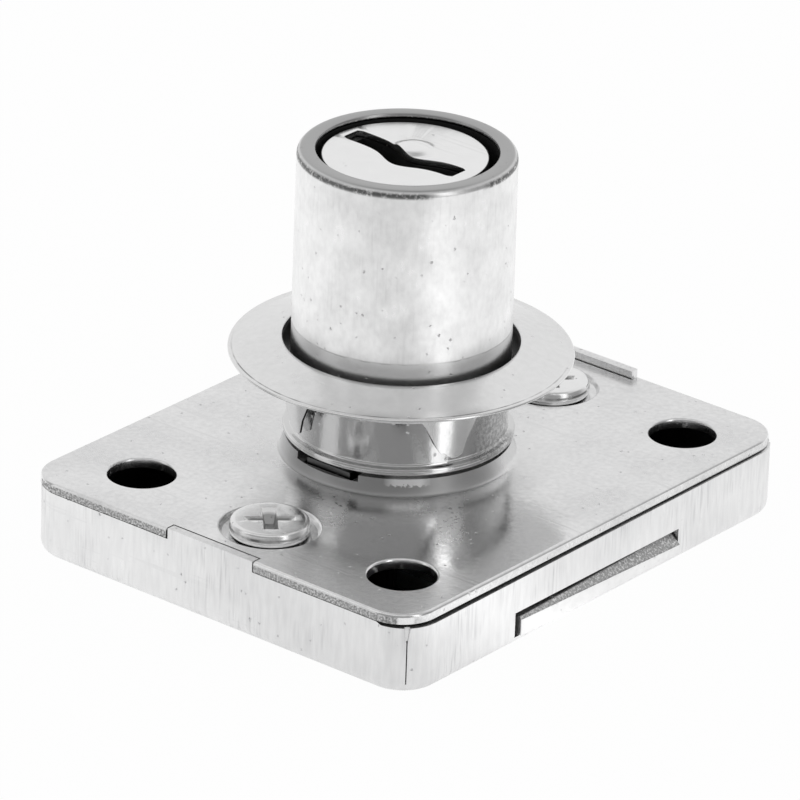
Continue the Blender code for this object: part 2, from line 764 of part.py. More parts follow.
def make_spring(n, finish, parent):
    """A small coil spring that pushes a wafer out of the plug."""
    per_turn, sides = 10, 5
    count = SPRING_TURNS * per_turn
    middle_y = WAFER_WIDTH / 2 + FIT - SPRING_R - 0.7 * FIT
    span = SPRING_LENGTH - 2 * SPRING_WIRE_R - FIT
    coil_r = SPRING_R - SPRING_WIRE_R
    stack = []
    for step in range(count + 1):
        a = math.tau * step / per_turn
        x = way(n) * (span * (step / count - 0.5) + FIT / 2)
        stack.append(wire_ring(x, middle_y, coil_r, a, sides))
    bm = bmesh.new()
    rings = skin(bm, stack)
    bm.faces.new(rings[0][::-1])
    bm.faces.new(rings[-1])
    return finished(f"wafer_spring_{n + 1}", bm, finish, parent, (0.0, 0.0, WAFER_Z[n]))


def wire_ring(x, middle_y, coil_r, a, sides):
    """One ring of points round the spring's wire, at angle a of its coil."""
    ring = []
    for side in range(sides):
        b = math.tau * side / sides
        reach = coil_r + SPRING_WIRE_R * math.cos(b)
        y = middle_y + reach * math.cos(a)
        ring.append((x + SPRING_WIRE_R * math.sin(b), y, reach * math.sin(a)))
    return ring


def make_face(finish, parent):
    """The pressed cap on the plug's end, with the wavy keyhole and a round raised mark."""
    inner = PLUG_FACE_R - PLUG_FACE_SHEET
    skirt_end = PLUG_TOP - FACE_SKIRT + FIT
    edge = 0.5 * PLUG_FACE_SHEET
    profile = [
        (PLUG_FACE_R, skirt_end),
        (PLUG_FACE_R, FACE_TOP - edge),
        (PLUG_FACE_R - 0.3 * edge, FACE_TOP - 0.3 * edge),
        (PLUG_FACE_R - edge, FACE_TOP),
    ]
    stack = turned(profile, BORE_STEPS)
    bm = bmesh.new()
    rings = skin(bm, stack)
    bm.faces.new(rings[-1])
    under = skin(bm, turned([(inner, skirt_end), (inner, FACE_TOP - PLUG_FACE_SHEET)], BORE_STEPS))
    bm.faces.new(under[-1])
    for n in range(BORE_STEPS):
        after = (n + 1) % BORE_STEPS
        bm.faces.new((rings[0][n], under[0][n], under[0][after], rings[0][after]))
    face = finished("plug_face", bm, finish, parent)
    base = FACE_TOP - 0.5 * PLUG_FACE_SHEET
    dome = [
        (BUMP_R, base),
        (BUMP_R, FACE_TOP + 0.15 * BUMP_HEIGHT),
        (0.8 * BUMP_R, FACE_TOP + 0.7 * BUMP_HEIGHT),
        (0.4 * BUMP_R, FACE_TOP + BUMP_HEIGHT),
    ]
    place = (0.0, KEY_RISE - KEY_DIP + KEY_WIDTH / 2 + 0.9 * BUMP_R)
    bump = solid("raised_mark_tool", turned(dome, SMALL_STEPS, place), HIDDEN)
    combine(face, bump, "UNION")
    stack = [level(key_outline(), PLUG_TOP - FACE_SKIRT), level(key_outline(), SLEEVE_TOP)]
    combine(face, solid("keyhole_tool", stack, HIDDEN), "DIFFERENCE")
    return face


def pin_place():
    """Where the cam's pin stands with the bolt drawn back."""
    return -PIN_ORBIT * math.cos(math.pi / 4), -PIN_ORBIT * math.sin(math.pi / 4)


def make_cam(finish, parent):
    """The cam lever on the plug's tail: a hub that narrows to a boss round its pin."""
    hub, boss = TAIL_SIDE, PIN_R + PIN_HOLD
    steps = 16
    lean = math.acos((hub - boss) / PIN_ORBIT)
    outline = []
    for n in range(steps + 1):
        a = lean + (math.tau - 2 * lean) * n / steps
        outline.append((hub * math.cos(a), hub * math.sin(a)))
    for n in range(steps + 1):
        a = -lean + 2 * lean * n / steps
        outline.append((PIN_ORBIT + boss * math.cos(a), boss * math.sin(a)))
    turn = math.radians(-135)
    c, s = math.cos(turn), math.sin(turn)
    outline = [(c * x - s * y, s * x + c * y) for x, y in outline]
    border = [level(outline, CAM_TOP), level(outline, CAM_BOTTOM)]
    side = TAIL_SIDE / 2 + FIT
    tail = [square(side, z, SMALL_STEPS) for z in (CAM_TOP, CAM_BOTTOM)]
    pin = [(PIN_R - 2 * FIT, z) for z in (CAM_TOP, CAM_BOTTOM)]
    holes = [tail, turned(pin, SMALL_STEPS, pin_place())]
    return sheet("cam_driver", border, holes, finish, parent)


def make_pin(finish, parent):
    """The pin riveted into the cam, which runs in the bolt's notch."""
    tenon = PIN_R - 3 * FIT
    profile = [
        (0.85 * PIN_R, BOLT_BOTTOM + FIT),
        (PIN_R, BOLT_BOTTOM + 2.5 * FIT),
        (PIN_R, CAM_BOTTOM - FIT),
        (tenon, CAM_BOTTOM - FIT),
        (tenon, CAM_TOP),
    ]
    return solid("cam_pin", turned(profile, SMALL_STEPS, pin_place()), finish, parent)


def make_bolt(finish, parent):
    """The flat bolt: a window for the plug's tail, a notch for the pin and a bevelled nose."""
    front = BOLT_FRONT
    low, high = BOLT_SHIFT - BOLT_WIDTH / 2, BOLT_SHIFT + BOLT_WIDTH / 2
    tail_left = -BOLT_THROW - TAIL_SLOT_HALF
    rear = tail_left - BOLT_REAR_WALL
    outline = [
        (rear, low + BOLT_CORNER),
        (rear + BOLT_CORNER, low),
        (front, low),
        (front, high),
        (rear + BOLT_CORNER, high),
        (rear, high - BOLT_CORNER),
    ]
    pin_x = pin_place()[0]
    notch = PIN_R + PIN_CLEARANCE
    notch_end = -PIN_ORBIT - PIN_R - 2 * FIT
    window = [
        (tail_left, -TAIL_SLOT_HALF),
        (pin_x - notch, -TAIL_SLOT_HALF),
        (pin_x - notch, notch_end),
        (pin_x + notch, notch_end),
        (pin_x + notch, -TAIL_SLOT_HALF),
        (TAIL_SLOT_HALF, -TAIL_SLOT_HALF),
        (TAIL_SLOT_HALF, TAIL_SLOT_HALF),
        (tail_left, TAIL_SLOT_HALF),
    ]
    border = [level(outline, BOLT_TOP), level(outline, BOLT_BOTTOM)]
    hole = [level(window, BOLT_TOP), level(window, BOLT_BOTTOM)]
    bolt = sheet("bolt", border, [hole], finish, parent)
    combine(bolt, make_bevel_tool(front, low, high), "DIFFERENCE")
    return bolt


def make_bevel_tool(front, low, high):
    """A wedge that bevels the bolt's nose, shallow at the front end and deep at the rear end."""
    over = FIT
    stack = []
    for y, drop in ((low - over, BOLT_BEVEL_LOW), (high + over, BOLT_BEVEL_HIGH)):
        stack.append(
            [
                (front - 1.2 * drop, y, BOLT_TOP),
                (front, y, BOLT_TOP - drop),
                (front + over, y, BOLT_TOP - drop - over),
                (front + over, y, BOLT_TOP + over),
                (front - 1.2 * drop, y, BOLT_TOP + over),
            ]
        )
    bm = bmesh.new()
    rings = skin(bm, stack)
    bm.faces.new(rings[0][::-1])
    bm.faces.new(rings[-1])
    return finished("nose_bevel_tool", bm, HIDDEN)


def prong_angles():
    """Angles round the ring, with points along each prong's round-ended outline, and its depth there."""
    half = PRONG_WIDTH / 2 / RING_BORE_R
    tip = PRONG_TIP / 2 / RING_BORE_R
    skew = PRONG_SKEW / RING_BORE_R
    tongue = ((-1.0, 0.84), (-0.55, 0.97), (0.0, 1.0), (0.55, 0.97), (1.0, 0.84))
    gap_steps = 8
    table = []
    for n in range(PRONGS):
        middle = PRONG_FIRST + math.tau * n / PRONGS
        table.append((middle - half, 0.0))
        table += [(middle + skew + tip * across, depth) for across, depth in tongue]
        span = math.tau / PRONGS - 2 * half
        for step in range(gap_steps):
            table.append((middle + half + span * step / gap_steps, 0.0))
    return table


def make_ring(finish):
    """The push-on ring: a gently domed flange turned down into a collar with four prongs."""
    top = LOCK_DEPTH + RING_Z
    edge = top - RING_FALL
    collar_r = RING_HOLE_R + RING_SHEET
    collar_end = LOCK_DEPTH + PRONG_Z + PRONG_HEIGHT
    bead = 0.25 * RING_SHEET
    fall = RING_FALL / (RING_R - RING_HOLE_R)
    under = (collar_r + 0.3 * RING_SHEET, top - 1.2 * RING_SHEET)
    crown = RING_HOLE_R + 0.8 * RING_SHEET
    profile = [
        (collar_r, top - 1.6 * RING_SHEET),
        under,
        (RING_R - RING_SHEET, edge - 0.8 * RING_SHEET),
        (RING_R, edge - 0.9 * RING_SHEET),
        (RING_R + 0.2 * bead, edge - 0.3 * RING_SHEET),
        (RING_R - bead, edge + 0.4 * bead),
        (RING_R - 2.5 * bead, edge + 2 * bead * fall),
        (crown, top - 0.5 * RING_SHEET * fall),
        (RING_HOLE_R + 0.25 * RING_SHEET, top - 0.05 * RING_SHEET),
        (RING_HOLE_R, top - 0.35 * RING_SHEET),
    ]
    table = prong_angles()
    stack = [ring_end(table, RING_BORE_R + RING_SHEET, collar_end)]
    for radius, z in profile:
        stack.append([(radius * math.cos(a), radius * math.sin(a), z) for a, _ in table])
    stack.append(ring_end(table, RING_BORE_R, collar_end))
    return hollow("escutcheon_ring", stack, finish)


def ring_end(table, radius, z):
    """The collar's lower edge, drawn down and in where there is a prong."""
    points = []
    for a, depth in table:
        reach = radius - depth * PRONG_LEAN
        points.append((reach * math.cos(a), reach * math.sin(a), z - depth * PRONG_HEIGHT))
    return points


def empty(name):
    """A bare frame that carries the pieces which move together."""
    made = bpy.data.objects.new(name, None)
    bpy.context.scene.collection.objects.link(made)
    return made


for thing in list(bpy.data.objects):
    bpy.data.objects.remove(thing)

HIDDEN = material("cutting_tool", (0.5, 0.5, 0.5), 0.5, 0.0)
plated = material("plated_sheet", (0.72, 0.72, 0.72), 0.28)
case_plate = material("case_plating", (0.80, 0.80, 0.81), 0.36)
satin = material("satin_sleeve", (0.70, 0.70, 0.71), 0.33)
polished = material("polished_ring", (0.78, 0.78, 0.79), 0.22)
zinc = material("cast_zinc", (0.58, 0.58, 0.60), 0.45)
steel = material("bolt_steel", (0.80, 0.80, 0.80), 0.35)
screw_steel = material("screw_plating", (0.74, 0.74, 0.75), 0.25)
brass = material("wafer_brass", (0.74, 0.57, 0.27), 0.35)
spring_steel = material("spring_wire", (0.62, 0.62, 0.64), 0.3)

plug_axis = empty("plug_axis")
bolt_slide = empty("bolt_slide")

make_case(case_plate)
make_cover(plated)
for end in (-1, 1):
    make_post(end, steel)
    make_screw(end, screw_steel)
make_sleeve(satin)
make_body(zinc)
make_ring(polished)
make_plug(zinc, plug_axis)
make_face(polished, plug_axis)
make_cam(steel, plug_axis)
make_pin(steel, plug_axis)
make_bolt(steel, bolt_slide)
for number in range(WAFERS):
    make_wafer(number, brass, plug_axis)
    make_spring(number, spring_steel, plug_axis)
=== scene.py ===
"""The finish of a surface-mounted drawer lock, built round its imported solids."""

import math

import bpy
from mathutils import Matrix, Vector


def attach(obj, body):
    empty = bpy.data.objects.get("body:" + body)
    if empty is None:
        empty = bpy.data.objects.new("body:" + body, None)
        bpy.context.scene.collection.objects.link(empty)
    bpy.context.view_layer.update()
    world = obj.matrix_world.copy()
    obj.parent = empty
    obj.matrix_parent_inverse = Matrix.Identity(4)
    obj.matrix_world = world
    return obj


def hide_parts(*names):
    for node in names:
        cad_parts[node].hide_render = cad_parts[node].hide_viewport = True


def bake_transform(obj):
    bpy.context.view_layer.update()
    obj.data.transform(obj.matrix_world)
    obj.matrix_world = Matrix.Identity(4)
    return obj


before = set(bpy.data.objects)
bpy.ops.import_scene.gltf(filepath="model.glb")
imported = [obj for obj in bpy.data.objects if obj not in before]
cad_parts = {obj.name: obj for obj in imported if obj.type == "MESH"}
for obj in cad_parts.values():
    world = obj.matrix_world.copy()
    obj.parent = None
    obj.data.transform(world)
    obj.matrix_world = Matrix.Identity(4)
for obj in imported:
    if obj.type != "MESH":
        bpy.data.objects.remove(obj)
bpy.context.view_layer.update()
MM = 0.001


# Camera
# A long lens looks down on the cover from its front corner, at the place and the slight lean
# that make the plate, the holes, the cylinder and the ring fall where the photograph has them.
LENS_TURN = math.radians(38.588)
LENS_RISE = math.radians(24.716)
LENS_LEAN = math.radians(1.976)
LENS_DISTANCE = 553.624 * MM
LENS_ASIDE = 1.283 * MM
LENS_ABOVE = 3.003 * MM
LENS_LENGTH = 340.0
LENS_SHIFT = (-0.0209, 0.00786)
COVER_TOP = 6.2 * MM

back = Vector((
    math.sin(LENS_TURN) * math.cos(LENS_RISE),
    -math.cos(LENS_TURN) * math.cos(LENS_RISE),
    math.sin(LENS_RISE),
))
right = Vector((math.cos(LENS_TURN), math.sin(LENS_TURN), 0.0))
up = back.cross(right)
leaning_right = right * math.cos(LENS_LEAN) + up * math.sin(LENS_LEAN)
leaning_up = up * math.cos(LENS_LEAN) - right * math.sin(LENS_LEAN)
stand = Matrix((leaning_right, leaning_up, back)).transposed().to_4x4()
stand.translation = (
    Vector((0.0, 0.0, COVER_TOP)) + right * LENS_ASIDE + up * LENS_ABOVE + back * LENS_DISTANCE
)
bpy.ops.object.camera_add()
camera = bpy.context.object
camera.name = "studio_camera"
camera.matrix_world = stand
camera.data.lens = LENS_LENGTH
camera.data.sensor_width = 36.0
camera.data.shift_x, camera.data.shift_y = LENS_SHIFT
camera.data.clip_start = 0.01
bpy.context.scene.camera = camera


# Room
# The lock lies in a white tent that is open on one side. Metal shows the white walls, the grey
# opening and a dimmer roof; the lens sees plain white, and dull surfaces get an even level.
def add_node(tree, kind, **settings):
    """A shader node with its settings."""
    made = tree.nodes.new(kind)
    for name, value in settings.items():
        setattr(made, name, value)
    return made


def wire(tree, source, target):
    """Joins two shader sockets."""
    tree.links.new(source, target)


def spread(tree, source, low, high, start=0.0, end=1.0):
    """Maps a value from one range to another, held at both ends."""
    made = add_node(tree, "ShaderNodeMapRange")
    for title, value in (("From Min", low), ("From Max", high), ("To Min", start), ("To Max", end)):
        made.inputs[title].default_value = value
    wire(tree, source, made.inputs["Value"])
    return made.outputs["Result"]


def feed(tree, value, socket):
    """Sets a socket to a plain number, or joins another socket to it."""
    if isinstance(value, (int, float)):
        socket.default_value = value
    else:
        wire(tree, value, socket)


def combine(tree, how, first, second):
    """Two values put together, either of which may be a plain number."""
    made = add_node(tree, "ShaderNodeMath", operation=how)
    for socket, value in zip(made.inputs, (first, second)):
        feed(tree, value, socket)
    return made.outputs[0]


def blend_values(tree, share, first, second):
    """A mix of two values by a share of the second."""
    made = add_node(tree, "ShaderNodeMix", data_type="FLOAT")
    for title, value in (("Factor", share), ("A", first), ("B", second)):
        feed(tree, value, made.inputs[title])
    return made.outputs["Result"]


def grey_ramp(tree, source, stops):
    """Greys along a value from 0 to 1, given at a few stops."""
    made = add_node(tree, "ShaderNodeValToRGB")
    wire(tree, source, made.inputs["Fac"])
    while len(made.color_ramp.elements) < len(stops):
        made.color_ramp.elements.new(0.5)
    for stop, (position, grey) in zip(made.color_ramp.elements, stops):
        stop.position = position
        stop.color = (grey, grey, grey, 1.0)
    return made.outputs["Color"]


def new_group(name, inputs, outputs):
    """A shader group with its inputs and outputs, and its two end nodes."""
    group = bpy.data.node_groups.new(name, "ShaderNodeTree")
    for title, kind in inputs:
        group.interface.new_socket(name=title, in_out="INPUT", socket_type=kind)
    for title in outputs:
        group.interface.new_socket(name=title, in_out="OUTPUT", socket_type="NodeSocketFloat")
    return group, add_node(group, "NodeGroupInput"), add_node(group, "NodeGroupOutput")


VECTOR, FLOAT = "NodeSocketVector", "NodeSocketFloat"
TENT_BY_SIDE = (
    (-125.0, 1.0), (-108.0, 0.6), (-92.0, 0.40), (-62.0, 0.40), (-40.0, 0.37),
    (20.0, 0.35), (62.0, 0.34), (88.0, 0.36), (104.0, 0.6), (122.0, 1.0),
)
SHEET_BY_SIDE = (
    (-180.0, 1.0), (-85.0, 1.0), (-42.0, 0.93), (-5.0, 0.88), (16.0, 0.95),
    (37.0, 1.3), (58.0, 1.02), (108.0, 0.97), (180.0, 1.0),
)
tent_sides, enter, leave = new_group("tent_sides", [("Vector", VECTOR)], ["Grey", "Near"])
turned = add_node(tent_sides, "ShaderNodeVectorRotate", rotation_type="Z_AXIS")
turned.inputs["Angle"].default_value = -LENS_TURN
wire(tent_sides, enter.outputs["Vector"], turned.inputs["Vector"])
level_split = add_node(tent_sides, "ShaderNodeSeparateXYZ")
wire(tent_sides, turned.outputs[0], level_split.inputs[0])
towards = combine(tent_sides, "MULTIPLY", level_split.outputs["Y"], -1.0)
heading = combine(tent_sides, "ARCTAN2", level_split.outputs["X"], towards)
heading = spread(tent_sides, heading, -math.pi, math.pi)
for title, stops in (("Grey", TENT_BY_SIDE), ("Near", SHEET_BY_SIDE)):
    greys = grey_ramp(tent_sides, heading, [(0.5 + turn / 360.0, grey) for turn, grey in stops])
    wire(tent_sides, greys, leave.inputs[title])


def use_group(tree, group, vector, **values):
    """A group placed in a material with its own values."""
    made = add_node(tree, "ShaderNodeGroup", node_tree=group)
    wire(tree, vector, made.inputs["Vector"])
    for title, value in values.items():
        made.inputs[title].default_value = value
    return made.outputs[0]


ROOM_LIGHT = 0.85
ROOM_BY_HEIGHT = ((0.0, 1.0), (28.0, 1.0), (50.0, 0.98), (60.0, 0.74), (72.0, 0.44), (90.0, 0.30))
DARK_SIDE_TOP = (30.0, 64.0)
room = bpy.data.worlds.new("pale_room")
bpy.context.scene.world = room
room.use_nodes = True
tree = room.node_tree
tree.nodes.clear()
look = add_node(tree, "ShaderNodeTexCoord").outputs["Generated"]
split = add_node(tree, "ShaderNodeSeparateXYZ")
wire(tree, look, split.inputs[0])
by_height = grey_ramp(
    tree, split.outputs["Z"], [(math.sin(math.radians(rise)), grey) for rise, grey in ROOM_BY_HEIGHT]
)
low_part = spread(
    tree, split.outputs["Z"], *[math.sin(math.radians(rise)) for rise in DARK_SIDE_TOP], 1.0, 0.0
)
by_side = combine(tree, "MINIMUM", use_group(tree, tent_sides, look), by_height)
rays = add_node(tree, "ShaderNodeLightPath")
level = blend_values(tree, low_part, by_height, by_side)
level = blend_values(tree, rays.outputs["Is Glossy Ray"], ROOM_LIGHT, level)
level = blend_values(tree, rays.outputs["Is Camera Ray"], level, 1.0)
wall = add_node(tree, "ShaderNodeBackground")
wire(tree, level, wall.inputs["Strength"])
wire(tree, wall.outputs[0], add_node(tree, "ShaderNodeOutputWorld").inputs["Surface"])


def soft_box(name, turn, rise, distance, width, height, watts):
    """An area light that faces the lock from a direction in the lens's own sense of turn."""
    turn, rise = math.radians(turn), math.radians(rise)
    place = Vector((
        math.sin(turn) * math.cos(rise),
        -math.cos(turn) * math.cos(rise),
        math.sin(rise),
    ))
    bpy.ops.object.light_add(type="AREA", location=place * distance)
    lamp = bpy.context.object
    lamp.name = name
    lamp.data.shape = "RECTANGLE"
    lamp.data.size, lamp.data.size_y = width, height
    lamp.data.energy = watts
    lamp.rotation_euler = place.to_track_quat("Z", "Y").to_euler()
    return lamp


soft_box("box_overhead", 20, 78, 0.5, 0.4, 0.4, 0.12)
soft_box("box_right", 82, 22, 0.5, 0.14, 0.5, 0.26)
soft_box("box_left", -38, 24, 0.5, 0.18, 0.5, 0.12)


# Table
# The lock lies on a white sheet. It keeps a faint shadow, shows as white to the lens, and in
# metal it is bright near the lock and runs out into the tent's own greys.
TABLE_WHITE = (0.86, 0.86, 0.86, 1.0)
TABLE_SHOWN = 0.97
TABLE_REACH = (0.07, 0.16)
bpy.ops.mesh.primitive_plane_add(size=3.0, location=(0.0, 0.0, -0.02 * MM))
floor = bpy.context.object
floor.name = "studio_table"
table_paint = bpy.data.materials.new("white_table")
table_paint.use_nodes = True
tree = table_paint.node_tree
tree.nodes.clear()
sheet_white = add_node(tree, "ShaderNodeBsdfDiffuse")
sheet_white.inputs["Color"].default_value = TABLE_WHITE
place = add_node(tree, "ShaderNodeTexCoord").outputs["Object"]
away = add_node(tree, "ShaderNodeVectorMath", operation="LENGTH")
wire(tree, place, away.inputs[0])
rays = add_node(tree, "ShaderNodeLightPath")
far = spread(tree, away.outputs["Value"], *TABLE_REACH)
sides = add_node(tree, "ShaderNodeGroup", node_tree=tent_sides)
wire(tree, place, sides.inputs["Vector"])
strength = blend_values(tree, far, sides.outputs["Near"], sides.outputs["Grey"])
strength = blend_values(tree, rays.outputs["Is Camera Ray"], strength, 1.0)
glow = add_node(tree, "ShaderNodeEmission")
wire(tree, strength, glow.inputs["Strength"])
shown = combine(tree, "MULTIPLY", rays.outputs["Is Camera Ray"], TABLE_SHOWN)
shown = combine(tree, "MAXIMUM", shown, rays.outputs["Is Glossy Ray"])
mixed = add_node(tree, "ShaderNodeMixShader")
wire(tree, shown, mixed.inputs[0])
wire(tree, sheet_white.outputs[0], mixed.inputs[1])
wire(tree, glow.outputs[0], mixed.inputs[2])
wire(tree, mixed.outputs[0], add_node(tree, "ShaderNodeOutputMaterial").inputs["Surface"])
floor.data.materials.append(table_paint)


# Finish of plated steel
# Rolled and drawn sheet is bright nickel or zinc over steel: cloudy in its gloss, with hairline
# scratches from handling, upright marks from drawing, a fine grain and small dark pits.
HAIRLINE_LAYS = ((12, 25, 60), (71, -50, 90), (133, 10, 50), (160, 75, 70))
HAIRLINE_THINNESS = 26
hairlines, enter, leave = new_group("hairlines", [("Vector", VECTOR), ("Share", FLOAT)], ["Lines"])
total = None
for turn, tilt, length in HAIRLINE_LAYS:
    lay = add_node(hairlines, "ShaderNodeMapping")
    lay.inputs["Rotation"].default_value = [math.radians(angle) for angle in (tilt, tilt / 2, turn)]
    lay.inputs["Scale"].default_value = (length, HAIRLINE_THINNESS * length, HAIRLINE_THINNESS * length)
    wire(hairlines, enter.outputs["Vector"], lay.inputs["Vector"])
    streak = add_node(hairlines, "ShaderNodeTexNoise")
    streak.inputs["Scale"].default_value = 1.0
    streak.inputs["Detail"].default_value = 1.0
    wire(hairlines, lay.outputs[0], streak.inputs["Vector"])
    thin = spread(hairlines, streak.outputs["Fac"], 0.69, 0.74)
    total = thin if total is None else combine(hairlines, "MAXIMUM", total, thin)
wire(hairlines, combine(hairlines, "MULTIPLY", total, enter.outputs["Share"]), leave.inputs["Lines"])

PIT_EDGE_GRAIN, PIT_EDGE_SHAKE = 6000.0, 0.25
pitting, enter, leave = new_group(
    "pitting", [("Vector", VECTOR), ("Scale", FLOAT), ("Share", FLOAT)], ["Pits"]
)
cells = add_node(pitting, "ShaderNodeTexVoronoi")
ragged = add_node(pitting, "ShaderNodeTexNoise")
ragged.inputs["Scale"].default_value = PIT_EDGE_GRAIN
wire(pitting, enter.outputs["Vector"], ragged.inputs["Vector"])
push = add_node(pitting, "ShaderNodeVectorMath", operation="SCALE")
push.inputs["Scale"].default_value = PIT_EDGE_SHAKE * MM
wire(pitting, ragged.outputs["Color"], push.inputs[0])
shaken = add_node(pitting, "ShaderNodeVectorMath", operation="ADD")
wire(pitting, enter.outputs["Vector"], shaken.inputs[0])
wire(pitting, push.outputs["Vector"], shaken.inputs[1])
wire(pitting, shaken.outputs["Vector"], cells.inputs["Vector"])
wire(pitting, enter.outputs["Scale"], cells.inputs["Scale"])
dots = spread(pitting, cells.outputs["Distance"], 0.10, 0.26, 1.0, 0.0)
few = add_node(pitting, "ShaderNodeSeparateColor")
wire(pitting, cells.outputs["Color"], few.inputs[0])
chosen = combine(pitting, "LESS_THAN", few.outputs[0], enter.outputs["Share"])
wire(pitting, combine(pitting, "MULTIPLY", dots, chosen), leave.inputs["Pits"])

clouding, enter, leave = new_group("clouding", [("Vector", VECTOR), ("Scale", FLOAT)], ["Cloud"])
haze = add_node(clouding, "ShaderNodeTexNoise")
haze.inputs["Detail"].default_value = 4.0
wire(clouding, enter.outputs["Vector"], haze.inputs["Vector"])
wire(clouding, enter.outputs["Scale"], haze.inputs["Scale"])
wire(clouding, spread(clouding, haze.outputs["Fac"], 0.32, 0.68), leave.inputs["Cloud"])

DRAW_MARK_GRAIN, DRAW_MARK_PATCHES = (4600.0, 4600.0, 260.0), 210.0
draw_marks, enter, leave = new_group("draw_marks", [("Vector", VECTOR), ("Share", FLOAT)], ["Marks"])
lay = add_node(draw_marks, "ShaderNodeMapping")
lay.inputs["Scale"].default_value = DRAW_MARK_GRAIN
wire(draw_marks, enter.outputs["Vector"], lay.inputs["Vector"])
streak = add_node(draw_marks, "ShaderNodeTexNoise")
streak.inputs["Scale"].default_value = 1.0
streak.inputs["Detail"].default_value = 2.0
wire(draw_marks, lay.outputs[0], streak.inputs["Vector"])
patch = add_node(draw_marks, "ShaderNodeTexNoise")
patch.inputs["Scale"].default_value = DRAW_MARK_PATCHES
wire(draw_marks, enter.outputs["Vector"], patch.inputs["Vector"])
marks = combine(
    draw_marks, "MULTIPLY", spread(draw_marks, streak.outputs["Fac"], 0.50, 0.68),
    spread(draw_marks, patch.outputs["Fac"], 0.44, 0.62),
)
wire(draw_marks, combine(draw_marks, "MULTIPLY", marks, enter.outputs["Share"]), leave.inputs["Marks"])


def plated(
    name, light, dark, gloss, grain=(900.0, 900.0, 900.0), grain_depth=0.004, scratch=0.5, drawn=0.0,
    pits=0.05, pit_scale=2300.0, cloud_scale=120.0, mottle=0.16, wave=0.0, wave_scale=90.0,
):
    """Plated metal: two greys, a range of roughness, and its grain, scratches, marks and pits.

    Scales and grain are in noise cells to the metre, depths and heights in millimetres.
    """
    made = bpy.data.materials.new(name)
    made.use_nodes = True
    tree = made.node_tree
    shader = tree.nodes["Principled BSDF"]
    shader.inputs["Metallic"].default_value = 1.0
    place = add_node(tree, "ShaderNodeTexCoord").outputs["Object"]
    cloud = use_group(tree, clouding, place, Scale=cloud_scale)
    lines = use_group(tree, hairlines, place, Share=scratch)
    holes = use_group(tree, pitting, place, Scale=pit_scale, Share=pits)
    stretch = add_node(tree, "ShaderNodeMapping")
    stretch.inputs["Scale"].default_value = grain
    wire(tree, place, stretch.inputs["Vector"])
    fibre = add_node(tree, "ShaderNodeTexNoise")
    fibre.inputs["Scale"].default_value = 1.0
    fibre.inputs["Detail"].default_value = 3.0
    wire(tree, stretch.outputs[0], fibre.inputs["Vector"])
    fibres = spread(tree, fibre.outputs["Fac"], 0.32, 0.68)

    tone = add_node(tree, "ShaderNodeMix", data_type="RGBA")
    tone.inputs["A"].default_value = (*light, 1.0)
    tone.inputs["B"].default_value = (*dark, 1.0)
    darkened = combine(tree, "MULTIPLY", combine(tree, "ADD", cloud, fibres), mottle)
    darkened = combine(tree, "MAXIMUM", darkened, combine(tree, "MULTIPLY", lines, 0.5))
    darkened = combine(tree, "MAXIMUM", darkened, combine(tree, "MULTIPLY", holes, 0.7))
    if drawn:
        marks = use_group(tree, draw_marks, place, Share=drawn)
        darkened = combine(tree, "ADD", darkened, marks)
    wire(tree, darkened, tone.inputs["Factor"])
    wire(tree, tone.outputs["Result"], shader.inputs["Base Color"])

    rough = spread(tree, cloud, 0.0, 1.0, gloss[0], gloss[1])
    rough = combine(tree, "ADD", rough, combine(tree, "MULTIPLY", fibres, 0.05))
    rough = combine(tree, "ADD", rough, combine(tree, "MULTIPLY", holes, 0.25))
    wire(tree, rough, shader.inputs["Roughness"])

    height = combine(tree, "MULTIPLY", fibres, grain_depth)
    height = combine(tree, "SUBTRACT", height, combine(tree, "MULTIPLY", lines, 0.004))
    height = combine(tree, "SUBTRACT", height, combine(tree, "MULTIPLY", holes, 0.03))
    if drawn:
        height = combine(tree, "SUBTRACT", height, combine(tree, "MULTIPLY", marks, 0.010))
    if wave:
        swell = use_group(tree, clouding, place, Scale=wave_scale)
        height = combine(tree, "ADD", height, combine(tree, "MULTIPLY", swell, wave))
    relief = add_node(tree, "ShaderNodeBump")
    relief.inputs["Distance"].default_value = MM
    wire(tree, height, relief.inputs["Height"])
    wire(tree, relief.outputs["Normal"], shader.inputs["Normal"])
    return made


def between(tree, value, low, high, soft):
    """One between two limits and nothing outside them, with soft ends."""
    rise = spread(tree, value, low - soft, low + soft)
    fall = spread(tree, value, high - soft, high + soft, 1.0, 0.0)
    return combine(tree, "MINIMUM", rise, fall)


def product(tree, first, *others):
    """Values multiplied together."""
    for value in others:
        first = combine(tree, "MULTIPLY", first, value)
    return first


def lay_marks_and_painted_light(finish, mask, tone, gloss):
    """Lays another tone and roughness over a finish where its mask says: real marks, and painted shade
    and reflections.
    """
    tree = finish.node_tree
    shader = tree.nodes["Principled BSDF"]
    for title, kind, value in (
        ("Base Color", "RGBA", (tone, tone, tone, 1.0)), ("Roughness", "FLOAT", gloss),
    ):
        lay = add_node(tree, "ShaderNodeMix", data_type=kind)
        wire(tree, mask, lay.inputs["Factor"])
        wire(tree, shader.inputs[title].links[0].from_socket, lay.inputs["A"])
        lay.inputs["B"].default_value = value
        wire(tree, lay.outputs["Result"], shader.inputs[title])


def object_place(finish):
    """The shader tree of a finish, and its three Object coordinates in metres."""
    tree = finish.node_tree
    split = add_node(tree, "ShaderNodeSeparateXYZ")
    wire(tree, add_node(tree, "ShaderNodeTexCoord").outputs["Object"], split.inputs[0])
    return tree, split.outputs["X"], split.outputs["Y"], split.outputs["Z"]


def axis_distance(tree, x, y):
    """The distance from the cylinder's axis."""
    squares = combine(tree, "ADD", product(tree, x, x), product(tree, y, y))
    return combine(tree, "SQRT", squares, 0.0)


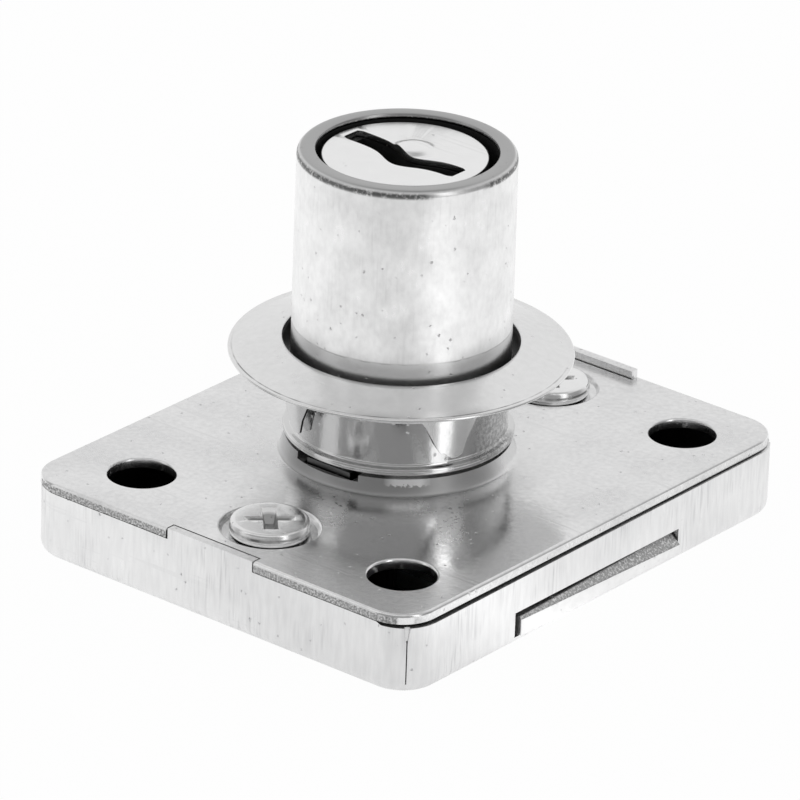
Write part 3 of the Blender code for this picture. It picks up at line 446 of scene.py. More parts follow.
def along(tree, x, y, turn):
    """How far a point lies from the axis in a direction given in degrees."""
    turn = math.radians(turn)
    return combine(tree, "ADD", product(tree, x, math.cos(turn)), product(tree, y, math.sin(turn)))


def facing(tree, x, y, turn, full, gone):
    """One where a point lies within a few degrees of a direction round the axis, fading out."""
    share = combine(tree, "DIVIDE", along(tree, x, y, turn), axis_distance(tree, x, y))
    return spread(tree, share, math.cos(math.radians(gone)), math.cos(math.radians(full)))


def speckles(tree, scale, low=0.36, high=0.6):
    """Fine grains between 0 and 1, so many to the metre."""
    grains = add_node(tree, "ShaderNodeTexNoise")
    grains.inputs["Scale"].default_value = scale
    grains.inputs["Detail"].default_value = 2.0
    wire(tree, add_node(tree, "ShaderNodeTexCoord").outputs["Object"], grains.inputs["Vector"])
    return spread(tree, grains.outputs["Fac"], low, high)


# Case
# The tray is folded from sheet: walls with seams at the corners, two tabs that locate the
# cover, a slot for the bolt, four guides along it and holes for the riveted posts.
def alone(piece):
    """Makes a piece the only one selected."""
    bpy.ops.object.select_all(action="DESELECT")
    piece.select_set(True)
    bpy.context.view_layer.objects.active = piece


def block(x, y, z):
    """A block between three pairs of limits in millimetres."""
    bpy.ops.object.select_all(action="DESELECT")
    middle = [(low + high) / 2 * MM for low, high in (x, y, z)]
    bpy.ops.mesh.primitive_cube_add(size=1.0, location=middle)
    bpy.context.object.scale = [(high - low) * MM for low, high in (x, y, z)]
    bpy.ops.object.transform_apply(location=True, rotation=True, scale=True)
    return bpy.context.object


def round_edges(piece, wanted, radius, steps):
    """Rounds the edges whose two ends, in millimetres, pass a test."""
    alone(piece)
    bpy.ops.object.mode_set(mode="EDIT")
    bpy.ops.mesh.select_all(action="DESELECT")
    bpy.ops.mesh.select_mode(type="EDGE")
    bpy.ops.object.mode_set(mode="OBJECT")
    for edge in piece.data.edges:
        edge.select = wanted(*[piece.data.vertices[end].co / MM for end in edge.vertices])
    bpy.ops.object.mode_set(mode="EDIT")
    bpy.ops.mesh.bevel(offset=radius * MM, segments=steps, affect="EDGES", clamp_overlap=False)
    bpy.ops.object.mode_set(mode="OBJECT")


def upright(a, b):
    """True for an edge that stands up."""
    return abs(a.x - b.x) + abs(a.y - b.y) < 0.01


def changed(piece, tool, how="DIFFERENCE"):
    """Cuts a tool out of a piece, or joins it on, and takes the tool away."""
    alone(piece)
    change = piece.modifiers.new("change", "BOOLEAN")
    change.solver = "MANIFOLD"
    change.operation = how
    change.object = tool
    bpy.ops.object.modifier_apply(modifier=change.name)
    bpy.data.objects.remove(tool)


def broken(piece, edge, steps=2, smooth=32.0):
    """Breaks the sharp edges of a piece and smooths its rounds, with its flats kept flat."""
    alone(piece)
    bevel = piece.modifiers.new("broken_edges", "BEVEL")
    bevel.width = edge * MM
    bevel.segments = steps
    bevel.limit_method = "ANGLE"
    bevel.angle_limit = math.radians(smooth)
    bpy.ops.object.modifier_apply(modifier=bevel.name)
    bpy.ops.object.shade_smooth_by_angle(angle=math.radians(smooth))
    flats = piece.modifiers.new("even_flats", "WEIGHTED_NORMAL")
    flats.keep_sharp = True
    bpy.ops.object.modifier_apply(modifier=flats.name)


def settle(piece, name, finish, body, slot, *nodes):
    """Gives a piece its name, its material, the body it rides on and its solids. Its slot is not used.
    """
    piece.name = name
    piece.data.name = name
    piece.data.materials.clear()
    piece.data.materials.append(finish)
    if body:
        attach(piece, body)
    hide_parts(*nodes)


CASE_X, CASE_Y, CASE_Z = (-16.97, 19.20), (-21.95, 21.95), (0.0, 5.37)
CASE_SHEET = 0.7
CORNER, FOLD, INNER_FOLD = 3.0, 0.9, 0.27
BOLT_WALL_SLOPE = 0.18
FRONT_TAB, FRONT_TAB_TOP = (-3.215, 4.735), 6.2
REAR_TAB, REAR_TAB_TOP = (-2.795, 5.155), 6.8
BOLT_MIDDLE, BOLT_HALF = -0.3, 9.25
SLOT_X, SLOT_ROOM, SLOT_TOP = (17.8, 19.9), (0.375, 0.125), 2.65
GUIDE_ENDS, GUIDE_LENGTH, GUIDE_SHEET, GUIDE_TOP, GUIDE_ROOM = (8.0, -9.1), 5.6, 0.7, 2.4, 0.25
SEAM = ((-1.4, 1.4), (-0.04, 0.04), (0.8, 4.1))
SEAM_MOUTH = ((-0.25, 1.4), (-0.30, 0.30), (3.9, 6.0))
SCREWS = (("front", (1.91, -16.7)), ("rear", (1.45, 16.15)))
POST_HOLE_R = 1.7
case = block(CASE_X, CASE_Y, CASE_Z)
round_edges(case, upright, CORNER, 12)
round_edges(case, lambda a, b: max(a.z, b.z) < 0.01, FOLD, 5)
hollow = block(
    (CASE_X[0] + CASE_SHEET, CASE_X[1] - CASE_SHEET),
    (CASE_Y[0] + CASE_SHEET, CASE_Y[1] - CASE_SHEET),
    (CASE_SHEET, 2 * CASE_Z[1]),
)
round_edges(hollow, upright, CORNER - CASE_SHEET, 12)
round_edges(hollow, lambda a, b: max(a.z, b.z) < CASE_SHEET + 0.01, INNER_FOLD, 3)
changed(case, hollow)
for vertex in case.data.vertices:
    if vertex.co.z > 5.0 * MM and vertex.co.x > (CASE_X[1] - CORNER) * MM:
        towards_front = (CASE_Y[1] * MM - vertex.co.y) / ((CASE_Y[1] - CASE_Y[0]) * MM)
        vertex.co.z -= BOLT_WALL_SLOPE * MM * towards_front
bpy.ops.object.mode_set(mode="EDIT")
bpy.ops.mesh.select_all(action="SELECT")
bpy.ops.mesh.quads_convert_to_tris()
bpy.ops.object.mode_set(mode="OBJECT")
for tab_x, side, top in ((FRONT_TAB, -1, FRONT_TAB_TOP), (REAR_TAB, 1, REAR_TAB_TOP)):
    inner, outer = side * (CASE_Y[1] - CASE_SHEET), side * CASE_Y[1]
    changed(case, block(tab_x, sorted((inner, outer)), (4.4, top)), "UNION")
for side in (-1, 1):
    edge = BOLT_MIDDLE + side * (BOLT_HALF + GUIDE_ROOM)
    for end in GUIDE_ENDS:
        guide_y = sorted((edge, edge + side * GUIDE_SHEET))
        changed(case, block((end - GUIDE_LENGTH, end), guide_y, (CASE_SHEET / 2, GUIDE_TOP)), "UNION")
slot_y = (BOLT_MIDDLE - BOLT_HALF - SLOT_ROOM[0], BOLT_MIDDLE + BOLT_HALF + SLOT_ROOM[1])
changed(case, block(SLOT_X, slot_y, (CASE_SHEET, SLOT_TOP)))
for side_x, wall_x in zip((-1, 1), CASE_X):
    for side_y, wall_y in zip((-1, 1), CASE_Y):
        seam, mouth = block(*SEAM), block(*SEAM_MOUTH)
        for vertex in mouth.data.vertices:
            if vertex.co.z < 5.0 * MM:
                vertex.co.y *= 0.1
        reach = CORNER * (1.0 - math.sqrt(0.5))
        for slit in (seam, mouth):
            slit.rotation_euler.z = math.atan2(side_y, side_x)
            slit.location = ((wall_x - side_x * reach) * MM, (wall_y - side_y * reach) * MM, 0.0)
            changed(case, slit)
for end, place in SCREWS:
    bpy.ops.mesh.primitive_cylinder_add(
        vertices=48, radius=POST_HOLE_R * MM, depth=3.0 * MM,
        location=(place[0] * MM, place[1] * MM, 0.0),
    )
    changed(case, bpy.context.object)
broken(case, 0.07)
case_finish = plated(
    "case_plating", (0.90, 0.90, 0.90), (0.48, 0.48, 0.49), (0.26, 0.36),
    grain=(2600.0, 2600.0, 420.0), grain_depth=0.005, scratch=0.4, drawn=0.42, pits=0.07, wave=0.02,
)
# Painted shade: the inside of the tray, its floor and the inner faces of its walls, is darkened nearly
# to black and made rougher.
tree, x, y, z = object_place(case_finish)
past_corners = []
for value, limits in ((x, CASE_X), (y, CASE_Y)):
    middle = sum(limits) / 2 * MM
    half = ((limits[1] - limits[0]) / 2 - CORNER) * MM
    past = combine(tree, "ABSOLUTE", combine(tree, "SUBTRACT", value, middle), 0.0)
    past_corners.append(combine(tree, "SUBTRACT", past, half))
outside = axis_distance(tree, *[combine(tree, "MAXIMUM", past, 0.0) for past in past_corners])
deeper = combine(tree, "MINIMUM", combine(tree, "MAXIMUM", *past_corners), 0.0)
outside = combine(tree, "ADD", outside, deeper)
inside = spread(tree, outside, (CORNER - 0.5) * MM, (CORNER - 0.3) * MM, 1.0, 0.0)
inside = combine(tree, "MINIMUM", inside, between(tree, z, 0.4 * MM, 5.5 * MM, 0.1 * MM))
lay_marks_and_painted_light(case_finish, inside, 0.10, 0.6)
settle(case, "folded_case", case_finish, "lock", "case_plating", "lock_case")


# Cover
# The cover is blanked from bright sheet: four corner holes, a notch for each tab, a pressed
# dimple under each screw, and an upstand drawn up round the cylinder and notched for its lugs.
def lathe(profile, steps, centre=(0.0, 0.0)):
    """A piece turned about an upright axis from the (radius, height) points of its section."""
    bpy.ops.object.select_all(action="DESELECT")
    radius, height = profile[0]
    bpy.ops.mesh.primitive_plane_add(
        size=0.2 * MM, location=((centre[0] + radius) * MM, centre[1] * MM, height * MM)
    )
    piece = bpy.context.object
    bpy.ops.object.transform_apply(location=True)
    bpy.ops.object.mode_set(mode="EDIT")
    bpy.ops.mesh.select_mode(type="VERT")
    bpy.ops.mesh.select_all(action="SELECT")
    bpy.ops.mesh.merge(type="CENTER")
    for (r0, z0), (r1, z1) in zip(profile, profile[1:]):
        step = ((r1 - r0) * MM, 0.0, (z1 - z0) * MM)
        bpy.ops.mesh.extrude_vertices_move(TRANSFORM_OT_translate={"value": step})
    bpy.ops.object.mode_set(mode="OBJECT")
    if profile[0][0] or profile[-1][0]:
        for number, vertex in enumerate(piece.data.vertices):
            vertex.select = number in (0, len(profile) - 1)
        bpy.ops.object.mode_set(mode="EDIT")
        bpy.ops.mesh.edge_face_add()
        bpy.ops.object.mode_set(mode="OBJECT")
    bpy.ops.object.mode_set(mode="EDIT")
    bpy.ops.mesh.select_all(action="SELECT")
    bpy.ops.mesh.spin(
        steps=steps, angle=math.tau, center=(centre[0] * MM, centre[1] * MM, 0.0), axis=(0.0, 0.0, 1.0)
    )
    bpy.ops.mesh.select_all(action="SELECT")
    bpy.ops.mesh.remove_doubles(threshold=0.0005 * MM)
    bpy.ops.mesh.normals_make_consistent(inside=False)
    bpy.ops.object.mode_set(mode="OBJECT")
    return piece


COVER_X, COVER_Y, COVER_Z = (-17.02, 18.98), (-22.0, 22.0), (5.45, 6.2)
DIE_ROLL = 0.26
NOTCH_ROOM, NOTCH_Y = 0.12, (21.13, 23.0)
HOLES_X, HOLES_Y, HOLE_R = (-10.68, 13.82), (-16.25, 16.25), 2.5
HOLE = (
    (0.0, 5.0), (HOLE_R, 5.0), (HOLE_R, 6.03), (HOLE_R + 0.03, 6.11), (HOLE_R + 0.09, 6.17),
    (HOLE_R + 0.18, 6.21), (HOLE_R + 0.18, 7.0), (0.0, 7.0),
)
CUP = ((0.0, 5.0), (3.5, 5.0), (3.7, 5.06), (3.97, 5.46), (3.97, 5.8), (0.0, 5.8))
DIMPLE = (
    (0.0, 5.75), (3.36, 5.75), (3.46, 5.78), (3.52, 5.88), (3.60, 6.06), (3.68, 6.16),
    (3.8, 6.205), (3.8, 6.8), (0.0, 6.8),
)
SCREW_HOLE = ((0.0, 4.5), (1.5, 4.5), (1.5, 6.5), (0.0, 6.5))
UPSTAND_BORE, UPSTAND_R, UPSTAND_FOOT, UPSTAND_TOP = 7.55, 8.38, 0.5, 7.5
FLARE = (
    (1.0, 0.0), (0.8, 0.02), (0.62, 0.06), (0.47, 0.13), (0.33, 0.25),
    (0.21, 0.41), (0.12, 0.58), (0.05, 0.77), (0.015, 0.92), (0.0, 1.0),
)
UPSTAND = [(UPSTAND_BORE, 5.45), (9.4, 5.45), (9.4, 5.8), (9.6, 5.8), (9.6, 6.19)]
for out, rise in FLARE:
    height = COVER_Z[1] + (UPSTAND_TOP - COVER_Z[1]) * rise
    UPSTAND.append((UPSTAND_R + UPSTAND_FOOT * out, height))
UPSTAND.append((UPSTAND_BORE, UPSTAND_TOP))
LUG_GAP_HALF, LUG_GAP_SKEW, LUG_GAP_Y, LUG_GAP_Z = 2.9, 0.12, (6.69, 10.3), (7.0, 8.25)
LUG_HALF, LUG_Y = 2.3, (7.09, 8.1)
cover = block(COVER_X, COVER_Y, COVER_Z)
round_edges(cover, upright, CORNER, 14)
round_edges(cover, lambda a, b: min(a.z, b.z) > COVER_Z[1] - 0.01, DIE_ROLL, 4)
for tab_x, side in ((FRONT_TAB, -1), (REAR_TAB, 1)):
    notch_x = (tab_x[0] - NOTCH_ROOM, tab_x[1] + NOTCH_ROOM)
    changed(cover, block(notch_x, sorted(side * edge for edge in NOTCH_Y), (5.0, 7.0)))
for x in HOLES_X:
    for y in HOLES_Y:
        changed(cover, lathe(HOLE, 72, (x, y)))
for end, centre in SCREWS:
    changed(cover, lathe(CUP, 72, centre), "UNION")
    changed(cover, lathe(DIMPLE, 72, centre))
    changed(cover, lathe(SCREW_HOLE, 48, centre))
changed(cover, lathe([(0.0, 5.0), (9.0, 5.0), (9.0, 7.0), (0.0, 7.0)], 144))
changed(cover, lathe(UPSTAND, 144), "UNION")
for side in (-1, 1):
    middle = LUG_GAP_SKEW * side
    gap_y, lug_y = [sorted(side * edge for edge in edges) for edges in (LUG_GAP_Y, LUG_Y)]
    changed(cover, block((middle - LUG_GAP_HALF, middle + LUG_GAP_HALF), gap_y, LUG_GAP_Z))
    changed(cover, block((-LUG_HALF, LUG_HALF), lug_y, (0.0, LUG_GAP_Z[1])))
broken(cover, 0.09)
cover_finish = plated(
    "cover_plating", (0.935, 0.935, 0.935), (0.58, 0.58, 0.59), (0.11, 0.25),
    grain=(2400.0, 2400.0, 2400.0), grain_depth=0.002, scratch=0.6, pits=0.05, mottle=0.22,
    cloud_scale=210.0, wave=0.02,
)
tree, x, y, z = object_place(cover_finish)
off_axis = axis_distance(tree, x, y)
# Round the foot of the upstand the cover is rougher, which blurs its reflections, and a little darker,
# which is painted shade under the ring.
lay_marks_and_painted_light(cover_finish, spread(tree, off_axis, 13.0 * MM, 9.0 * MM, 0.0, 0.5), 0.82, 0.32)
# Painted shade: the flank of the upstand above the cover's flat is darkened and dulled on its front
# side.
shaded_flank = product(
    tree, spread(tree, z, 6.2 * MM, 6.212 * MM), facing(tree, x, y, -66.0, 46.0, 82.0)
)
lay_marks_and_painted_light(cover_finish, shaded_flank, 0.46, 0.45)
torn = combine(tree, "ADD", z, product(tree, speckles(tree, 3400.0, 0.3, 0.7), 0.3 * MM))
burr = product(tree, spread(tree, torn, 7.1 * MM, 7.2 * MM), facing(tree, x, y, -46.0, 6.0, 12.0))
lay_marks_and_painted_light(cover_finish, burr, 1.0, 0.6)
# Painted reflection: two bright, speckled and rougher streaks run out from the upstand across the
# cover, where the cylinder's bright side is mirrored.
STREAK_TURN, STREAK_HALF = -50.5, 0.95
outward, across = along(tree, x, y, STREAK_TURN), along(tree, x, y, STREAK_TURN + 90.0)
for middle, reach in ((3.7, 17.5), (-4.6, 16.0)):
    painted_reflection_streak = product(
        tree,
        between(tree, across, (middle - STREAK_HALF) * MM, (middle + STREAK_HALF) * MM, 0.25 * MM),
        spread(tree, outward, reach * MM, (reach - 5.0) * MM),
        spread(tree, outward, 7.0 * MM, 7.6 * MM, 0.0, 0.9),
        speckles(tree, 2600.0, 0.3, 0.52),
        spread(tree, z, 6.23 * MM, 6.2 * MM),
    )
    lay_marks_and_painted_light(cover_finish, painted_reflection_streak, 1.0, 0.42)
# The lower part of the cover's cut edge is its rougher torn zone, and its dark speckled tone is painted
# shade for the gap over the case walls; less of it at the bolt end.
from_middle = combine(tree, "SUBTRACT", x, sum(COVER_X) / 2 * MM)
outline = combine(
    tree, "MAXIMUM",
    spread(tree, combine(tree, "ABSOLUTE", from_middle, 0.0), 17.5 * MM, 17.6 * MM),
    spread(tree, combine(tree, "ABSOLUTE", y, 0.0), 21.4 * MM, 21.5 * MM),
)
torn_edge_and_shade = product(
    tree,
    between(tree, z, 5.3 * MM, 5.98 * MM, 0.03 * MM),
    outline,
    spread(tree, x, 18.2 * MM, 18.8 * MM, 1.0, 0.25),
    speckles(tree, 6500.0, 0.2, 0.6),
)
lay_marks_and_painted_light(cover_finish, torn_edge_and_shade, 0.26, 0.5)
settle(cover, "pressed_cover", cover_finish, "lock", "plated_sheet", "cover_plate")


# Cover screws
# Two bright machine screws with a low head and a cross recess hold the cover; their threads are
# rolled on the shank.
SEAT = 5.8
HEAD_R, HEAD_HEIGHT = 2.93, 1.05
THREAD_R, THREAD_ROOT, THREAD_PITCH, THREAD_TURNS = 1.19, 1.0, 0.45, 7
RECESS_TURN, RECESS_ARMS = 43.0, ((0, 2.15, 0.4), (90, 2.1, 0.6))
thread = []
for turn in range(THREAD_TURNS):
    rise = SEAT - 3.15 + THREAD_PITCH * turn
    thread += [(THREAD_ROOT, rise), (THREAD_R, rise + 0.2)]
SCREW = (
    (0.0, SEAT - 3.4), (0.8, SEAT - 3.4), *thread, (THREAD_ROOT, SEAT - 0.1), (THREAD_ROOT, SEAT),
    (HEAD_R - 0.2, SEAT), (HEAD_R - 0.05, SEAT + 0.08), (HEAD_R, SEAT + 0.22),
    (HEAD_R, SEAT + 0.45), (HEAD_R - 0.06, SEAT + 0.55), (HEAD_R - 0.06, SEAT + 0.82),
    (HEAD_R - 0.11, SEAT + 0.94), (HEAD_R - 0.22, SEAT + 1.02), (HEAD_R - 0.4, SEAT + 1.04),
    (1.6, SEAT + HEAD_HEIGHT), (0.0, SEAT + HEAD_HEIGHT),
)
screw_finish = plated(
    "screw_plating", (0.98, 0.98, 0.98), (0.6, 0.6, 0.6), (0.14, 0.24),
    scratch=0.5, pits=0.08, mottle=0.1,
)
tree, x, y, z = object_place(screw_finish)
near_middle = 0.0
for end, centre in SCREWS:
    from_x, from_y = [
        combine(tree, "SUBTRACT", value, part * MM) for value, part in zip((x, y), centre)
    ]
    near = spread(tree, axis_distance(tree, from_x, from_y), 1.6 * MM, 1.4 * MM)
    near_middle = combine(tree, "MAXIMUM", near, near_middle)
# Painted shade: a speckled dark line runs round each screw head at the step in its side.
shaded_crease = between(tree, z, (SEAT + 0.46) * MM, (SEAT + 0.62) * MM, 0.05 * MM)
lay_marks_and_painted_light(screw_finish, product(tree, shaded_crease, speckles(tree, 900.0, 0.3, 0.6)), 0.25, 0.3)
# Painted shade: the cross recess of each screw, below the top of the head, is darkened.
below_top = spread(tree, z, (SEAT + 0.96) * MM, (SEAT + 0.85) * MM)
lay_marks_and_painted_light(screw_finish, combine(tree, "MINIMUM", near_middle, below_top), 0.42, 0.3)
for end, centre in SCREWS:
    screw = lathe(SCREW, 72, centre)
    for quarter, long, wide in RECESS_ARMS:
        arm = block((-long, long), (-wide, wide), (SEAT + 0.2, SEAT + 1.3))
        for vertex in arm.data.vertices:
            if vertex.co.z < (SEAT + 0.5) * MM:
                vertex.co.x *= 0.4
                vertex.co.y *= 0.5
        arm.rotation_euler.z = math.radians(RECESS_TURN + quarter)
        arm.location = (centre[0] * MM, centre[1] * MM, 0.0)
        changed(screw, arm)
    broken(screw, 0.05)
    settle(
        screw, f"machine_screw_{end}", screw_finish, "lock", "screw_plating", f"cover_screw_{end}"
    )


# Screw posts
# Each screw runs into a threaded post whose foot is riveted over in the back of the case.
POST = (
    (0.0, 0.08), (1.3, 0.05), (1.52, 0.12), (1.6, 0.3), (1.6, 0.8), (2.25, 0.8), (2.4, 0.95),
    (2.4, 4.7), (2.25, 4.85), (1.45, 4.85), (1.3, 4.7), (1.3, 2.05), (0.0, 2.05),
)
post_finish = plated("post_steel", (0.72, 0.72, 0.72), (0.45, 0.45, 0.45), (0.3, 0.4))
for end, centre in SCREWS:
    post = lathe(POST, 64, centre)
    broken(post, 0.03)
    settle(post, f"riveted_post_{end}", post_finish, "lock", "bolt_steel", f"screw_post_{end}")


# Cylinder sleeve
# The sleeve is drawn from sheet: its rim is rolled in to a flat ring at the key end, its foot is
# turned out to a lip. The barrel is satin, the drawn foot below the ring is bright.
ROLL_R, ROLL_MIDDLE, ROLL_HEIGHT = 0.5, 7.5, 29.37
ROLL = [
    (ROLL_MIDDLE + ROLL_R * math.cos(turn), ROLL_HEIGHT + ROLL_R * math.sin(turn))
    for turn in [math.radians(15 * step) for step in range(7)]
]
LIP = (
    (7.5, 7.75), (8.32, 7.75), (8.43, 7.79), (8.5, 7.9), (8.5, 8.12), (8.44, 8.24), (8.32, 8.3),
    (8.13, 8.32), (8.05, 8.38), (8.01, 8.48), (8.0, 8.6),
)
BARREL = ((8.0, 11.5), (8.06, 13.0), (8.07, 17.0))
RIM = ((6.76, 29.87), (6.69, 29.84), (6.66, 29.77), (6.66, 29.57), (7.5, 29.57))
sleeve = lathe([*LIP, *BARREL, *ROLL, *RIM], 160)
broken(sleeve, 0.02)
sleeve_finish = plated(
    "satin_sleeve", (0.97, 0.97, 0.97), (0.62, 0.62, 0.62), (0.26, 0.34),
    grain=(2600.0, 2600.0, 1500.0), grain_depth=0.003, scratch=0.15, drawn=0.14, pits=0.10,
    cloud_scale=420.0, wave=0.01,
)
tree, x, y, z = object_place(sleeve_finish)
# Painted shade and reflection from the ring: from a ragged line a little above the ring downwards the
# barrel is darker, and a thin speckled dark line runs along that edge.
ripple = speckles(tree, 900.0, 0.3, 0.7)
ragged_z = combine(tree, "ADD", z, product(tree, ripple, 0.07 * MM))
lay_marks_and_painted_light(sleeve_finish, spread(tree, ragged_z, 16.6 * MM, 16.35 * MM), 0.70, 0.3)
line = product(tree, between(tree, ragged_z, 16.42 * MM, 16.5 * MM, 0.05 * MM), ripple, 0.8)
lay_marks_and_painted_light(sleeve_finish, line, 0.3, 0.4)
# Below the ring the foot is polished smoother; its darker tone there is painted shade under the ring.
lay_marks_and_painted_light(sleeve_finish, spread(tree, z, 13.4 * MM, 12.6 * MM), 0.75, 0.14)
worn_side = product(
    tree,
    facing(tree, x, y, 10.0, 15.0, 24.0),
    speckles(tree, 3600.0, 0.2, 0.6),
    spread(tree, z, 12.8 * MM, 12.4 * MM),
)
lay_marks_and_painted_light(sleeve_finish, worn_side, 0.42, 0.3)
# Round the outer side of the rolled rim the barrel is darker, with speckles, except on a short stretch
# facing the bolt end a little to the front.
dark_roll_band = product(
    tree,
    between(tree, z, 29.3 * MM, 29.68 * MM, 0.08 * MM),
    speckles(tree, 4200.0, 0.25, 0.5),
    combine(tree, "SUBTRACT", 1.0, facing(tree, x, y, -22.0, 13.0, 20.0)),
)
lay_marks_and_painted_light(sleeve_finish, dark_roll_band, 0.22, 0.4)
flat_rim = combine(
    tree, "MINIMUM",
    spread(tree, z, 29.6 * MM, 29.75 * MM),
    spread(tree, axis_distance(tree, x, y), 7.9 * MM, 7.7 * MM),
)
lay_marks_and_painted_light(sleeve_finish, flat_rim, 0.46, 0.3)
settle(sleeve, "drawn_sleeve", sleeve_finish, "lock", "satin_sleeve", "cylinder_sleeve")


# Cylinder body and plug
# The body and the plug are cast in zinc, in a near-black tone that is painted shade for the inside of
# the cylinder and the keyway. The body's lugs show outside the sleeve a little less dark, with light
# top edges.
def dressed(node, name, finish, body, slot, edge=0.05, steps=2, smooth=32.0):
    """A merged copy of a solid of the frame, with its edges broken and its rounds smoothed."""
    piece = bpy.data.objects.new(name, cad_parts[node].data.copy())
    bpy.context.scene.collection.objects.link(piece)
    alone(piece)
    bpy.ops.object.mode_set(mode="EDIT")
    bpy.ops.mesh.select_all(action="SELECT")
    bpy.ops.mesh.remove_doubles(threshold=0.0005 * MM)
    bpy.ops.mesh.dissolve_limited(angle_limit=math.radians(0.4))
    bpy.ops.object.mode_set(mode="OBJECT")
    broken(piece, edge, steps, smooth)
    settle(piece, name, finish, body, slot, node)
    return piece


zinc_in_painted_shade = plated(
    "cast_zinc", (0.06, 0.06, 0.06), (0.03, 0.03, 0.03), (0.5, 0.65), pits=0.2, grain_depth=0.02,
)
# Painted shade: the zinc is near black throughout; the body's lugs outside the sleeve are a little less
# dark, and their top edges are light.
tree, x, y, z = object_place(zinc_in_painted_shade)
lug = combine(
    tree, "MINIMUM",
    spread(tree, axis_distance(tree, x, y), 7.3 * MM, 7.4 * MM),
    spread(tree, z, 7.9 * MM, 7.7 * MM),
)
lay_marks_and_painted_light(zinc_in_painted_shade, lug, 0.12, 0.3)
top_edge = between(tree, z, 7.56 * MM, 7.7 * MM, 0.03 * MM)
lay_marks_and_painted_light(zinc_in_painted_shade, combine(tree, "MINIMUM", lug, top_edge), 0.9, 0.3)
dressed("cylinder_body", "cast_body", zinc_in_painted_shade, "lock", "cast_zinc")
dressed("plug", "cast_plug", zinc_in_painted_shade, "plug", "cast_zinc")


# Wafers
# Six flat brass stampings slide across the plug in its slots. They stand drawn in, as the key
# holds them.
brass_finish = plated("wafer_brass", (0.78, 0.60, 0.28), (0.5, 0.36, 0.15), (0.25, 0.4))
for number in range(1, 7):
    wafer = f"wafer_{number}"
    dressed(wafer, f"brass_{wafer}", brass_finish, wafer, "wafer_brass", edge=0.04)


# Wafer springs
# Each wafer is pushed out by a coil of fine wire that stands between it and a nub of the plug.
COIL_R, WIRE_R, COIL_SPAN, COIL_TURNS = 0.27, 0.07, 2.16, 7
COIL_Y, FIRST_COIL, COIL_PITCH, COIL_SHIFT, COIL_REACH = 2.29, 11.2, 2.9, 0.05, 1.1
spring_finish = plated("spring_wire", (0.7, 0.7, 0.7), (0.5, 0.5, 0.5), (0.2, 0.3))
for number in range(1, 7):
    way = 1 if number % 2 else -1
    height = FIRST_COIL + COIL_PITCH * (number - 1)
    start = (COIL_SHIFT * way - COIL_SPAN / 2, COIL_Y, height)
    bpy.ops.object.select_all(action="DESELECT")
    bpy.ops.mesh.primitive_circle_add(
        vertices=10, radius=WIRE_R * MM, rotation=(math.radians(90), 0.0, math.radians(90)),
        location=(0.0, COIL_R * MM, 0.0),
    )
    coil = bpy.context.object
    bpy.ops.object.transform_apply(location=True, rotation=True)
    bpy.ops.object.mode_set(mode="EDIT")
    bpy.ops.mesh.select_all(action="SELECT")
    bpy.ops.transform.rotate(value=math.radians(90), orient_axis="Y", center_override=(0.0, 0.0, 0.0))
    bpy.ops.object.mode_set(mode="OBJECT")
    winding = coil.modifiers.new("winding", "SCREW")
    winding.axis = "X"
    winding.screw_offset = COIL_SPAN / COIL_TURNS * MM
    winding.iterations = COIL_TURNS
    winding.steps = winding.render_steps = 20
    bpy.ops.object.modifier_apply(modifier=winding.name)
    bpy.ops.object.mode_set(mode="EDIT")
    bpy.ops.mesh.select_all(action="SELECT")
    bpy.ops.mesh.remove_doubles(threshold=0.0005 * MM)
    bpy.ops.mesh.fill_holes(sides=12)
    bpy.ops.mesh.normals_make_consistent(inside=False)
    bpy.ops.transform.translate(value=[part * MM for part in start])
    bpy.ops.object.mode_set(mode="OBJECT")
    bpy.ops.object.shade_smooth_by_angle(angle=math.radians(50))
    settle(
        coil, f"coil_spring_{number}", spring_finish, None, "spring_wire", f"wafer_spring_{number}"
    )
    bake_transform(coil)


# Plug face
# A cap pressed from bright sheet closes the plug. The wavy keyhole is blanked in it, beside a
# soft round mark, and the cap sits a hair off the middle of its opening.
FACE_TOP, FACE_R, FACE_SKIRT, FACE_MIDDLE = 29.42, 6.1, 27.42, (-0.2, -0.03)
MARK_R, MARK_MIDDLE = 1.75, (-0.35, 1.13)
KEY_LENGTH, KEY_HALF, KEY_SHIFT = 10.4, 0.95, (-0.32, 0.05)
KEY_SLOPE, KEY_DIP, KEY_DIP_X, KEY_DIP_SPAN = 0.035, 1.15, 0.7, 1.9
face = lathe([
    (0.0, FACE_TOP - 0.4), (FACE_R - 0.22, FACE_TOP - 0.4), (FACE_R - 0.22, FACE_SKIRT),
    (FACE_R, FACE_SKIRT), (FACE_R, FACE_TOP - 0.2), (FACE_R - 0.02, FACE_TOP - 0.1),
    (FACE_R - 0.08, FACE_TOP - 0.03), (FACE_R - 0.18, FACE_TOP), (0.0, FACE_TOP),
], 128, FACE_MIDDLE)
mark = lathe([
    (0.0, FACE_TOP - 0.15), (MARK_R, FACE_TOP - 0.15), (MARK_R, FACE_TOP + 0.003),
    (1.6, FACE_TOP + 0.02), (1.45, FACE_TOP + 0.08), (1.3, FACE_TOP + 0.17), (1.1, FACE_TOP + 0.25),
    (0.8, FACE_TOP + 0.31), (0.4, FACE_TOP + 0.335), (0.0, FACE_TOP + 0.34),
], 64, MARK_MIDDLE)
changed(face, mark, "UNION")
bpy.ops.mesh.primitive_grid_add(x_subdivisions=48, y_subdivisions=1, size=1.0, location=(0.0, 0.0, 0.0))
keyhole = bpy.context.object
